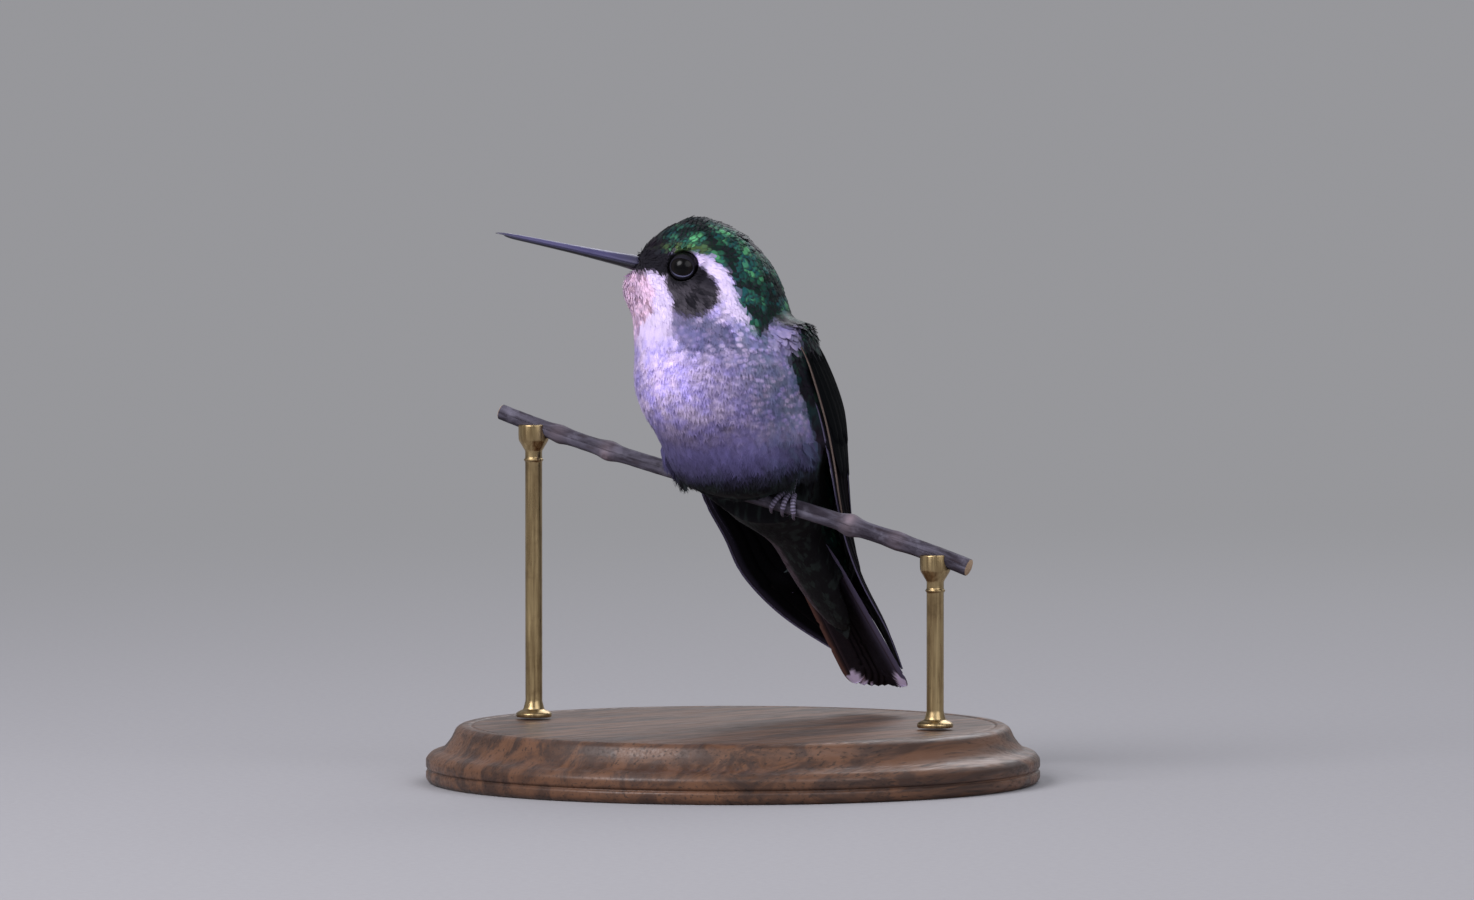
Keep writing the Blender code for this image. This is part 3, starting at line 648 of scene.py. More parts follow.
def plumage_material(name, rim, sheen):
    finish = {"Sheen_Weight": sheen, "Sheen_Roughness": 0.5, "Specular_IOR_Level": 0.12}
    made, shade, sockets = new_material(name, **finish)
    looks = shade.use(MARKINGS, rim=rim)
    shade.set(sockets["Metallic"], looks["Metallic"])
    shade.dress(sockets, looks["Color"], looks["Roughness"], looks["Height"], 0.25, 0.00002)
    return made


def flight_material(name, web_colour, edge_colour, warm_colour, shaft_colour, tip_colour, streak):
    """Stiff feathers: dark webs, a shaft, a paler thin edge and a pale tip, from the vane's own numbers."""
    made, shade, sockets = new_material(name, Specular_IOR_Level=0.03)
    web = shade.use(WEB, barbs=95.0, slant=0.12)
    vane = shade.attribute("vane", "Vector")
    warmth = shade.split(vane)["Z"]
    streaks = shade.noise(60.0, 4.0, 0.6, shade.stretched(vane, (2.0, 0.25, 1.0)))
    base = clouded(shade, web_colour, 500.0, 0.5, 0.3)
    edge = shade.mix(warmth, edge_colour, warm_colour)
    base = shade.mix(shade.times(shade.ramp(streaks, 0.45, 0.75), streak), base, edge)
    base = shade.mix(shade.attribute("edge"), base, edge)
    base = shade.mix(shade.attribute("shaft"), base, shaft_colour)
    base = shade.mix(shade.attribute("tip"), base, tip_colour)
    roughness = shade.plus(0.55, shade.times(streaks, 0.2))
    shade.dress(sockets, base, roughness, web["Height"], 0.5, 0.00003)
    return made


def bill_material():
    finish = {"Coat_Weight": 0.25, "Coat_Roughness": 0.3, "Specular_IOR_Level": 0.5}
    made, shade, sockets = new_material("bill_horn", **finish)
    along = shade.attribute("along")
    place = shade.attribute("grain", "Vector")
    grain = shade.noise(900.0, 4.0, 0.6, shade.stretched(place, (1.0, 0.06, 1.0)))
    # The violet-grey tones of the upper bill are partly the horn's own colour and partly a painted sheen on
    # its top.
    base = shade.mix(shade.ramp(along, 0.0, 0.3), tone(52, 50, 74), tone(66, 62, 102))
    base = shade.mix(shade.ramp(along, 0.75, 1.0), base, tone(46, 43, 66))
    base = shade.mix(shade.times(shade.ramp(grain, 0.4, 0.7), 0.35), base, tone(88, 84, 124))
    # Painted shade: the lower mandible is made near black, darker than the upper, as the light falls from
    # above.
    base = shade.mix(shade.ramp(shade.split(place)["Z"], 0.0002, -0.0003), base, tone(20, 19, 28))
    base = clouded(shade, base, 260.0, 0.4, 0.2)
    shade.dress(sockets, base, shade.ramp(grain, 0.3, 0.8, 0.3, 0.48), grain, 0.3, 0.00004)
    return made


def eye_material():
    made, shade, sockets = new_material(
        "eye_surface", Coat_Weight=0.1, Coat_Roughness=0.12, Specular_IOR_Level=0.12, Roughness=0.24
    )
    facing = shade.attribute("gaze")
    fibres = shade.noise(2600.0, 4.0, 0.6)
    iris = shade.mix(fibres, tone(8, 6, 7), tone(18, 13, 13))
    base = shade.mix(shade.ramp(facing, 0.86, 0.9), iris, tone(3, 3, 5))
    base = shade.mix(shade.ramp(facing, 0.62, 0.56), base, tone(8, 7, 9))
    shade.set(sockets["Base Color"], base)
    return made


def lid_material():
    made, shade, sockets = new_material("lid_skin", Specular_IOR_Level=0.12)
    folds = shade.cells(5200.0)
    rim = shade.attribute("rim")
    base = shade.mix(rim, tone(27, 25, 33), tone(84, 84, 110))
    base = clouded(shade, base, 900.0, 0.5, 0.3)
    shade.dress(sockets, base, shade.ramp(folds, 0.0, 0.6, 0.6, 0.8), folds, 0.6, 0.00005)
    return made


def leg_material(name, dark, pale, roughness):
    made, shade, sockets = new_material(name, Specular_IOR_Level=0.4)
    scutes = shade.attribute("scute")
    base = clouded(shade, dark, 800.0, 0.5, 0.4)
    base = shade.mix(shade.ramp(scutes, 0.25, 0.9, 0.0, 0.8), base, pale)
    polish = shade.ramp(scutes, 0.0, 1.0, roughness + 0.15, roughness)
    shade.dress(sockets, base, polish, shade.noise(3800.0, 3.0, 0.6), 0.35, 0.00004)
    return made


def bark_material():
    made, shade, sockets = new_material("twig_bark", Specular_IOR_Level=0.3)
    way = shade.attribute("grain", "Vector")
    ridges = shade.noise(700.0, 5.0, 0.65, shade.stretched(way, (1.0, 0.18, 1.0)), 0.4)
    flakes = shade.cells(900.0, shade.stretched(way, (1.0, 0.35, 1.0)))
    lichen = shade.noise(300.0, 4.0, 0.6)
    base = shade.mix(shade.ramp(ridges, 0.35, 0.65), tone(40, 34, 44), tone(84, 80, 94))
    base = shade.mix(shade.times(shade.ramp(lichen, 0.5, 0.68), 0.5), base, tone(120, 116, 132))
    base = shade.mix(shade.times(shade.ramp(flakes, 0.35, 0.1), 0.5), base, tone(44, 30, 36))
    scar = shade.mix(ridges, tone(72, 60, 68), tone(150, 134, 144))
    heartwood = shade.mix(ridges, tone(150, 122, 98), tone(196, 170, 140))
    base = shade.mix(shade.attribute("knot"), base, scar)
    base = shade.mix(shade.attribute("cut"), base, heartwood)
    polish = shade.ramp(ridges, 0.3, 0.7, 0.9, 0.66)
    shade.dress(sockets, base, polish, shade.plus(ridges, flakes), 0.7, 0.00012)
    return made


def wood_material():
    """Dark oiled wood with its rings running off centre, open pores and a little dust."""
    finish = {"Coat_Weight": 0.15, "Coat_Roughness": 0.35, "Specular_IOR_Level": 0.4}
    made, shade, sockets = new_material("base_wood", **finish)
    way = shade.stretched(shade.place(), (26.0, 3.2, 26.0), (0.0, 0.12, 0.35))
    warp = shade.noise(3.0, 3.0, 0.5, way)
    rings = shade.noise(9.0, 4.0, 0.65, way, 1.2)
    pores = shade.noise(2600.0, 2.0, 0.6, shade.stretched(shade.place(), (1.0, 0.06, 1.0), (0.0, 0.0, 0.35)))
    base = shade.mix(shade.ramp(rings, 0.38, 0.62), tone(58, 38, 28), tone(104, 70, 48))
    base = shade.mix(shade.times(shade.ramp(warp, 0.4, 0.7), 0.4), base, tone(78, 50, 34))
    base = shade.mix(shade.times(shade.ramp(pores, 0.56, 0.7), 0.75), base, tone(30, 18, 13))
    base = clouded(shade, base, 60.0, 0.25, 0.1, 0.05)
    shade.dress(sockets, base, shade.ramp(pores, 0.3, 0.7, 0.38, 0.6), pores, 0.25, 0.00008)
    return made


def brass_material():
    made, shade, sockets = new_material("rod_brass", Metallic=1.0)
    brushed = shade.noise(2200.0, 3.0, 0.6, shade.stretched(shade.place(), (1.0, 1.0, 0.05)))
    tarnish = shade.noise(240.0, 4.0, 0.6)
    base = shade.mix(shade.ramp(brushed, 0.3, 0.7), tone(150, 128, 92), tone(186, 164, 122))
    base = shade.mix(shade.times(shade.ramp(tarnish, 0.45, 0.7), 0.6), base, tone(98, 80, 58))
    polish = shade.ramp(shade.plus(brushed, tarnish), 0.7, 1.3, 0.26, 0.46)
    shade.dress(sockets, base, polish, brushed, 0.15, 0.00003)
    return made


# ---------------------------------------------------------------- camera, light and floor
VIEW_TURN = math.radians(42)
VIEW_RISE = math.radians(2.5)
VIEW_DISTANCE = 1400.0
VIEW_WIDTH = 206.2  # what the frame spans at the perch
AIM_RIGHT, AIM_UP = 0.56, 5.45  # from the perch to the middle of the frame
SENSOR = 36.0
BACKDROP = tone(206, 206, 211)
WORLD_STRENGTH = 0.5


def view_axes():
    right = np.array([math.cos(VIEW_TURN), math.sin(VIEW_TURN), 0.0])
    ahead = np.array([-math.sin(VIEW_TURN), math.cos(VIEW_TURN), 0.0]) * math.cos(VIEW_RISE)
    ahead[2] = -math.sin(VIEW_RISE)
    return right, ahead, np.cross(right, ahead)


def build_camera():
    right, ahead, up = view_axes()
    aim = PERCH + AIM_RIGHT * right + AIM_UP * up
    lens = bpy.data.cameras.new("view")
    lens.sensor_width = SENSOR
    lens.lens = SENSOR * VIEW_DISTANCE / VIEW_WIDTH
    lens.clip_start = 0.05
    lens.clip_end = 60.0
    camera = new_object("view", lens)
    camera.location = Vector((aim - ahead * VIEW_DISTANCE) * MM)
    camera.rotation_euler = Vector(ahead).to_track_quat("-Z", "Y").to_euler()
    bpy.context.scene.camera = camera


# Name, turn to the right of the view and rise in degrees, distance and size in metres, watts, colour.
LAMPS = (
    ("key_lamp", -44.0, 37.0, 0.9, 0.55, 7.1, (0.975, 0.96, 1.0)),
    ("fill_lamp", 38.0, 30.0, 1.1, 0.9, 4.2, (0.93, 0.94, 1.0)),
    ("back_lamp", 160.0, 40.0, 1.0, 0.7, 4.0, (0.95, 0.96, 1.0)),
)


def add_lamp(name, turn, rise, distance, size, power, colour):
    """A soft round lamp that looks at the bird."""
    lamp = bpy.data.lights.new(name, "AREA")
    lamp.shape = "DISK"
    lamp.size = size
    lamp.energy = power
    lamp.color = colour
    holder = new_object(name, lamp)
    turn, rise = VIEW_TURN + math.radians(turn), math.radians(rise)
    way = Vector((math.sin(turn) * math.cos(rise), -math.cos(turn) * math.cos(rise), math.sin(rise)))
    holder.location = Vector(PERCH * MM) + way * distance
    holder.rotation_euler = (-way).to_track_quat("-Z", "Y").to_euler()


def build_lights():
    for lamp in LAMPS:
        add_lamp(*lamp)
    world = bpy.data.worlds.new("studio")
    world.use_nodes = True
    background = world.node_tree.nodes["Background"]
    background.inputs["Color"].default_value = (*BACKDROP, 1.0)
    background.inputs["Strength"].default_value = WORLD_STRENGTH
    bpy.context.scene.world = world
    bpy.context.scene.view_settings.view_transform = "Standard"
    bpy.context.scene.view_settings.look = "None"


FLOOR_RINGS = (0.0001, 0.15, 0.4, 1.0, 2.5, 8.0, 25.0)  # metres
FLOOR_SIDES = 64
BLACK = (0.0, 0.0, 0.0)


def build_floor():
    """A wide pale floor that fades, far out, into the colour of the surroundings."""
    angles = round_angles(FLOOR_SIDES)
    vertices = [(r * math.cos(a), r * math.sin(a), 0.0) for r in FLOOR_RINGS for a in angles]
    faces = ring_faces(len(FLOOR_RINGS), FLOOR_SIDES)
    mesh = mesh_from("studio_floor", np.array(vertices) / MM, faces, outward=False)
    floor = new_object("studio_floor", mesh)
    made, shade, sockets = new_material("floor_paper", Roughness=0.85, Specular_IOR_Level=0.0)
    away = shade.node("ShaderNodeVectorMath", operation="LENGTH")
    shade.set(away.inputs[0], shade.place())
    fade = shade.ramp(away.outputs["Value"], 0.06, 0.8)
    paper = shade.mix(shade.noise(900.0, 3.0, 0.6), tone(158, 157, 161), tone(168, 167, 171))
    glow = tuple(WORLD_STRENGTH * c for c in BACKDROP)
    shade.set(sockets["Base Color"], shade.mix(fade, paper, BLACK))
    shade.set(sockets["Emission Color"], shade.mix(fade, BLACK, glow))
    shade.set(sockets["Emission Strength"], 1.0)
    shade.set(sockets["Normal"], shade.bump(shade.noise(1800.0, 3.0, 0.6), 0.1, 0.0001))
    floor.data.materials.append(made)


# ---------------------------------------------------------------- skin
COAT_DEPTH = 0.6  # body feathers stand this far over the skin
FACE_DEPTH = 0.28
WING_DEPTH = 0.5
SKIN_VOXEL = 0.42
GAP_CLOSING = 0.22  # the skin swells by this to join the solids, and is drawn in again
EYE_AIM = {name: unit((0.22, side, 0.06)) @ HEAD_AXES for name, side in SIDES}


def gathered_flesh():
    """The flesh solids together, each as one closed mesh."""
    gather = bmesh.new()
    for name in FLESH:
        gather.from_mesh(nodes[name].data)
    bmesh.ops.remove_doubles(gather, verts=gather.verts, dist=1e-6)
    mesh = bpy.data.meshes.new("skin")
    gather.to_mesh(mesh)
    gather.free()
    return mesh


SKIN_ROUNDS = 26  # of smoothing, before the skin is drawn in
SETTLING_ROUNDS = 3  # and after


def soften(piece, rounds):
    smooth = piece.modifiers.new("soften", "SMOOTH")
    smooth.factor = 0.5
    smooth.iterations = rounds
    applied(piece)


def away_from_eyes(points, far, close):
    """1 away from the eyes, falling to 0 between two distances from the line of each gaze."""
    away = np.ones(len(points))
    for name, _ in SIDES:
        spoke = points - EYES[name]
        off_axis = np.linalg.norm(np.cross(spoke, EYE_AIM[name]), axis=1)
        away *= 1.0 - ease(off_axis, far, close) * (spoke @ EYE_AIM[name] > -0.5)
    return away


def build_skin():
    """One skin over all the flesh, drawn in by the depth of the coat but not round the eyes."""
    skin = new_object("skin", gathered_flesh())
    swell = skin.modifiers.new("close_gaps", "DISPLACE")
    swell.strength = GAP_CLOSING * MM
    swell.mid_level = 0.0
    remesh = skin.modifiers.new("one_skin", "REMESH")
    remesh.mode = "VOXEL"
    remesh.voxel_size = SKIN_VOXEL * MM
    soften(skin, SKIN_ROUNDS)
    points = points_of(skin.data)
    head = to_head(points)
    face = ease(head[:, 0], -3.0, 1.5) * ease(head[:, 2], -9.0, -4.0)
    depth = COAT_DEPTH + (FACE_DEPTH - COAT_DEPTH) * face
    depth = depth + (WING_DEPTH - COAT_DEPTH) * ease(wing_closeness(points), 1.6, 0.9)
    depth = depth * away_from_eyes(points, 3.6, 2.0)
    trench = ease(np.abs(to_twig(points)[:, 0]), 3.4, 2.6) * ease(points[:, 2] - PERCH[2], 7.5, 6.0)
    depth = depth * (1.0 - 0.9 * trench)
    move_points(skin.data, points - vectors_of(skin.data, "normal") * (depth + GAP_CLOSING)[:, None])
    soften(skin, SETTLING_ROUNDS)
    skin.data.shade_smooth()
    return skin


def unwrap_skin(skin):
    """A map of the skin's own shape, as patches that don't overlap."""
    bpy.context.view_layer.objects.active = skin
    skin.select_set(True)
    bpy.ops.object.mode_set(mode="EDIT")
    bpy.ops.mesh.select_all(action="SELECT")
    bpy.ops.uv.smart_project(angle_limit=math.radians(66), island_margin=0.006)
    bpy.ops.object.mode_set(mode="OBJECT")
    skin.select_set(False)
    skin.data.uv_layers.active.name = "OFBake"


# The middle of the body: height over the perch, then left and back of it.
CORE_LINE = (
    (-24.0, 0.0, 25.5), (-5.0, 0.0, 11.4), (2.0, 0.0, 6.5),
    (8.0, 0.0, 3.5), (17.0, 0.0, -1.5), (26.0, -1.5, -2.5),
)


def core_turn(points):
    """Degrees round the body from its front: 0 at the breast and 180 at the back."""
    heights, xs, ys = np.array(CORE_LINE).T
    z = points[:, 2] - PERCH[2]
    x = points[:, 0] - np.interp(z, heights, xs)
    y = points[:, 1] - np.interp(z, heights, ys)
    return np.degrees(np.arctan2(np.abs(x), -y))


# Marks on the side of the head, as forward and up from the eye.
STRIPE_LINE = ((-1.6, 1.8), (-2.8, 1.35), (-4.6, 0.45), (-6.0, -1.25), (-6.9, -2.8), (-8.6, -4.1))
STRIPE_WIDTH = ((0.0, 0.38), (0.2, 0.62), (0.45, 0.82), (0.8, 0.85), (1.0, 0.6))  # half of it, along its run
CROWN_EDGE = (
    (9.0, -0.6), (6.0, 0.2), (3.0, 1.1), (0.0, 1.75), (-2.2, 2.3), (-4.4, 1.6), (-6.2, 0.4), (-7.3, -1.6),
    (-8.3, -3.2), (-10.0, -5.3), (-12.0, -7.5),
)
MALAR_LINE = ((4.3, -1.8), (2.9, -3.5), (2.55, -4.9), (2.3, -6.8), (2.1, -9.5))
MALAR_WIDTH = ((0.0, 0.35), (0.3, 0.75), (0.7, 1.2), (1.0, 2.2))
LORE_LINE = ((1.2, 0.1), (7.0, -0.5))
# Painted shade in the fold of the plumage below the cheek runs along this line.
SHADED_CREASE_LINE = ((1.2, -6.3), (-2.8, -6.6), (-7.5, -6.6))
SHOULDER = (11.6, -2.8, 22.2)  # the pale bend of the left wing, from the perch


def band(side_view, line, widths, wobble, outside, inside):
    """1 on a band along a line, with a half width that changes along its run."""
    gap, run = line_distance(side_view, line)
    half = np.interp(run, *np.array(widths).T)
    return ease(gap + wobble, half + outside, half - inside)


def side_marks(head, z, wobble):
    """The marks on the sides of the head, and the scaly collar below the cheek."""
    side_view = head[:, [0, 2]]
    forward, up = side_view.T
    aside = ease(np.abs(head[:, 1]), 2.0, 3.6)
    stripe = band(side_view, STRIPE_LINE, STRIPE_WIDTH, 0.5 * wobble, 0.25, 0.2) * aside
    malar = band(side_view, MALAR_LINE, MALAR_WIDTH, wobble, 0.5, 0.3) * ease(z, 21.0, 24.5)
    lore_gap, _ = line_distance(side_view, LORE_LINE)
    lore = ease(lore_gap, 1.75, 1.35) * ease(forward, -0.5, 0.8)
    cheek = np.hypot((forward + 1.2) / 3.75, (up + 2.5) / 3.6)
    cheek = ease(cheek + 0.12 * wobble, 1.12, 0.86) * aside
    # Painted shade: a dark line in the fold of the plumage below the cheek.
    shaded_crease_gap, _ = line_distance(side_view, SHADED_CREASE_LINE)
    shaded_crease = ease(shaded_crease_gap + wobble, 0.95, 0.3) * aside * 0.3
    eye_ring = ease(np.hypot(forward, up), 2.4, 1.9) * aside
    dark = np.maximum.reduce([cheek, lore, shaded_crease, eye_ring])
    collar = np.hypot((forward + 3.0) / 6.4, (up + 7.3) / 2.6)
    collar = ease(collar + 0.8 * wobble, 1.35, 0.4) * aside
    return stripe, malar, dark, collar


def upper_marks(points, head, z, turn, wobble, stripe):
    """The green of the crown, back and wings, with its bronze and olive parts."""
    edge = np.interp(head[:, 0], *np.array(CROWN_EDGE)[::-1].T)
    crown = ease(head[:, 2] - edge + 0.5 * wobble, -0.2, 0.5) * ease(z + 1.2 * wobble, 21.6, 23.4)
    back = ease(turn + 4.0 * wobble, 108.0, 122.0) * (1.0 - ease(z, 25.0, 27.0))
    nape = ease(turn + 6.0 * wobble, 66.0, 82.0) * ease(z + 1.2 * wobble, 22.2, 24.2)
    nape = nape * (1.0 - ease(z, 26.0, 28.0))
    back = np.maximum(back, nape * (1.0 - stripe))
    tail = to_tail(points)
    above_tail = ease(tail[:, 2], -0.5, 1.0)
    back = np.maximum(back * ease(tail[:, 1], 8.0, 2.0), above_tail * ease(tail[:, 1], -1.0, 2.0))
    wings = ease(wing_closeness(points), 1.6, 1.1)
    green = np.maximum(np.maximum(crown, back), wings)
    forehead = ease(head[:, 0], 2.6, 5.6) * crown
    # Painted shade: the crest of the crown is coloured dark bronze, standing for the dulled iridescence
    # along the crown's outline.
    rim = ease(np.abs(head[:, 1]), 3.2, 1.0) * ease(head[:, 2], 3.0, 5.0) * 0.85
    bronze = np.maximum(forehead, rim * crown)
    bronze = np.maximum(bronze, wings * (0.72 + 0.28 * ease(z, 12.0, 7.0)))
    olive = ease(head[:, 2] - edge, 1.9, 0.9) * ease(head[:, 0], -3.5, -1.5) * crown
    return crown, wings, green, bronze, olive


def comb_lines(points, head, z):
    """Places drawn close together along the feathers, so that marks read from them run with the coat."""
    level = ease(z, 18.0, 24.0)[:, None]
    spoke = head - (BILL_BASE - 1.0, 0.0, BILL_LEVEL + 0.8)
    reach = np.linalg.norm(spoke, axis=1, keepdims=True)
    over_head = level * spoke / reach * (5.0 + 0.25 * reach)
    return over_head + (1.0 - level) * (points - PERCH) * (1.0, 1.0, 0.3)


def paint_zones(skin):
    """The markings as a number from 0 to 1 for each zone, at every point of the skin."""
    points = points_of(skin.data)
    head = to_head(points)
    z = points[:, 2] - PERCH[2]
    turn = core_turn(points)
    wobble = 0.35 * np.sin(points[:, 0] * 2.1 + 1.3) * np.sin(points[:, 2] * 2.6)
    wobble = wobble + 0.2 * np.sin(points[:, 1] * 4.3)
    stripe, malar, dark, collar = side_marks(head, z, wobble)
    crown, wings, green, bronze, olive = upper_marks(points, head, z, turn, wobble, stripe)

    tail = to_tail(points)
    tail_rim = ease(tail[:, 0], -1.3, -2.3) * ease(tail[:, 1], 1.0, 6.0)
    tail_rim = tail_rim * (1.0 - ease(tail[:, 2], -0.5, 1.0))
    throat = np.hypot((head[:, 0] - 5.6) / 3.6, (head[:, 2] + 5.9) / 5.2)
    buff = ease(throat + 0.15 * wobble, 1.05, 0.7) * ease(z, 21.0, 24.5) * (1.0 - 0.7 * malar)
    buff = buff + 0.1 * tail_rim
    neck_side = ease(turn, 36.0, 62.0) * ease(z, 9.0, 14.0) * (1.0 - ease(turn, 108.0, 122.0))
    ones = np.ones(len(points))
    mirror = np.stack([np.sign(points[:, 0]), ones, ones], axis=1)
    shoulder = np.linalg.norm((points - PERCH) * mirror - SHOULDER, axis=1)
    shoulder = ease(shoulder + 1.2 * wobble, 3.3, 1.5) * ease(turn, 112.0, 96.0)
    mottle = 0.35 * ease(turn, 6.0, 30.0) * ease(z, 3.0, 13.0) + 0.35 * neck_side + 0.36 * collar
    mottle = np.clip(mottle, 0.0, 1.0) * (1.0 - 0.6 * shoulder) * (1.0 - malar)
    flank = ease(turn, 30.0, 80.0) * ease(z, 1.0, 12.0) * (1.0 - 0.5 * shoulder)
    flank = np.maximum(flank, 0.4 * collar)
    # Greyer low on the body and on the sides turned from the breast: partly the bird's grey belly and sides,
    # partly painted shade.
    grey = np.maximum(ease(z + 0.8 * wobble, 18.0, 6.0), 0.5 * ease(turn, 4.0, 46.0) * ease(z, 25.0, 21.0))
    grey = np.maximum(grey, np.maximum(0.6 * shoulder, 0.78 * collar))
    # The lower belly, the undertail and the lower sides, with a dark spot on the belly, are made near black:
    # partly the bird's own dark grey, partly painted shade under the body.
    belly_spot = np.hypot(0.743 * np.abs(points[:, 0]) + 0.669 * points[:, 1] + 1.4, 1.3 * (z - 11.3))
    low = z + 0.8 * wobble - 0.25 * (points[:, 1] - PERCH[1])
    dusk = np.maximum(ease(low, 9.3, 4.0), 0.6 * ease(belly_spot, 1.4, 0.5) * ease(turn, 80.0, 60.0))
    dusk = np.maximum(dusk, 0.75 * ease(turn, 34.0, 72.0) * ease(z + 0.8 * wobble, 14.0, 3.5))
    zones = {
        "grey": grey,
        "dusk": dusk,
        "buff": buff,
        "mottle": mottle,
        "flank": flank,
        "green": green * (1.0 - 0.9 * shoulder) * (1.0 - stripe),
        "olive": olive,
        "bronze": bronze,
        "dark": dark * (1.0 - stripe) * (1.0 - 0.9 * malar),
        "warm": ease(-head[:, 2], 0.6, 3.2),
        "white": np.maximum(0.9 * stripe, 0.85 * malar),
    }
    for name in ZONES:
        put_numbers(skin.data, name, zones[name])
    put_numbers(skin.data, "comb", comb_lines(points, head, z) * MM)
    return {"wings": wings, "crown": crown, "turn": turn, "z": z, "head": head}


def wing_closeness(points):
    """Distance to the nearer wing's coverts."""
    gaps = []
    for name, _ in SIDES:
        tree = BVHTree.FromPolygons(*loose_faces(f"wing_{name}_coverts"))
        gaps.append([tree.find_nearest(Vector(p))[3] for p in points])
    return np.min(gaps, axis=0)


def loose_faces(name):
    faces = [tuple(face.vertices) for face in nodes[name].data.polygons]
    return [Vector(p) for p in node_points(name)], faces


def lay_of_coat(skin):
    """Which way the feathers lie: away from the bill over the head, toward the tail below."""
    points = points_of(skin.data)
    normals = vectors_of(skin.data, "normal")
    head = to_head(points)
    bill_root = from_head(BILL_BASE - 1.0, 0.0, BILL_LEVEL + 0.8)
    from_bill = unit(points - bill_root)
    z = points[:, 2] - PERCH[2]
    low = ease(z, 5.0, -5.0)[:, None]
    body_way = low * unit(from_tail(0.0, 36.0, 0.0) - points) + (1.0 - low) * np.array([0.0, 0.2, -1.0])
    share = ease(z, 18.0, 27.0)[:, None]
    way = from_bill * share + body_way * (1.0 - share)
    back_of_head = ease(head[:, 0], -2.0, -8.0) * ease(z, 18.0, 24.0)
    way = way + 1.2 * back_of_head[:, None] * np.array([0.0, 0.1, -1.0])
    for name, _ in SIDES:
        spoke = points - EYES[name]
        near = ease(np.linalg.norm(spoke, axis=1), 4.2, 2.2)[:, None]
        way = way + 0.9 * near * unit(spoke)
    way = way - normals * np.sum(way * normals, axis=1, keepdims=True)
    return unit(way)


def bare_places(points):
    """1 where feathers grow, 0 at the eyes, round the bill, by the feet and under the folded wings."""
    grown = away_from_eyes(points, 1.7, 1.52)
    head = to_head(points)
    bill = np.hypot(head[:, 1], head[:, 2] - BILL_LEVEL)
    grown *= 1.0 - ease(bill, 1.35, 1.1) * ease(head[:, 0], BILL_BASE - 3.2, BILL_BASE - 2.4)
    twig = to_twig(points)
    hollow = ease(np.abs(twig[:, 0]), 3.3, 2.9) * ease(twig[:, 1], 6.6, 6.2)
    z = points[:, 2] - PERCH[2]
    hem = ease(z, 2.2, 0.8) * ease(points[:, 1] - PERCH[1], 3.5, 1.0)
    turn = core_turn(points)
    folded = ease(turn, 90.0, 95.0) * ease(turn, 110.0, 105.0) * ease(z, 14.5, 13.0) * ease(z, -1.0, 1.0)
    return grown * (1.0 - hollow) * (1.0 - hem) * (1.0 - folded)


# ---------------------------------------------------------------- single feathers of the coat
def blade(width, bend, arch, rows, point):
    """A closed feather of unit length along +Y: an arched web that bends down toward its tip.

    Gives its vertices, its faces and its vane numbers: across from -1 to 1, along from 0 to 1.
    """
    columns = (-1.0, -0.5, 0.0, 0.5, 1.0)
    vertices, numbers, faces = [(0.0, 0.0, 0.0)], [(0.0, 0.0, 0.0)], []
    for row in range(1, rows + 1):
        along = row / rows
        half = width * math.sin(math.pi * (0.08 + 0.84 * along**0.8)) ** point
        for u in columns:
            reach = along - 0.16 * width / 0.35 * u * u * along
            height = arch * (1 - u * u) * min(along * 3, 1.0) - bend * along * along
            vertices.append((half * u, reach, height))
            numbers.append((u, along, 0.0))
    top = len(vertices)
    for row in range(1, rows + 1):
        _, reach, height = vertices[1 + (row - 1) * 5 + 2]
        vertices.append((0.0, reach - (0.01 if row == rows else 0.0), height - arch - 0.012))
        numbers.append((0.0, row / rows, 0.0))
    faces += [(0, 1 + c, 2 + c) for c in range(4)]
    faces += [(0, top, 1), (0, 5, top)]
    for row in range(rows - 1):
        here, after = 1 + row * 5, 1 + (row + 1) * 5
        faces += [(here + c, after + c, after + c + 1, here + c + 1) for c in range(4)]
        low, low_after = top + row, top + row + 1
        faces += [(here, low, low_after, after), (low, here + 4, after + 4, low_after)]
    last = 1 + (rows - 1) * 5
    faces += [(last + c, top + rows - 1, last + c + 1) for c in range(4)]
    return vertices, faces, numbers


def barb(base, tip, width, height, numbers):
    """One loose barb: a thin closed spike."""
    base, tip = np.array(base), np.array(tip)
    side = unit(np.cross(tip - base, [0.0, 0.0, 1.0])) * width
    vertices = [tuple(v) for v in (base - side, base + side, base + (0, 0, height), tip)]
    faces = [(0, 1, 2), (0, 3, 1), (1, 3, 2), (2, 3, 0)]
    return vertices, faces, [numbers[0]] * 3 + [numbers[1]]


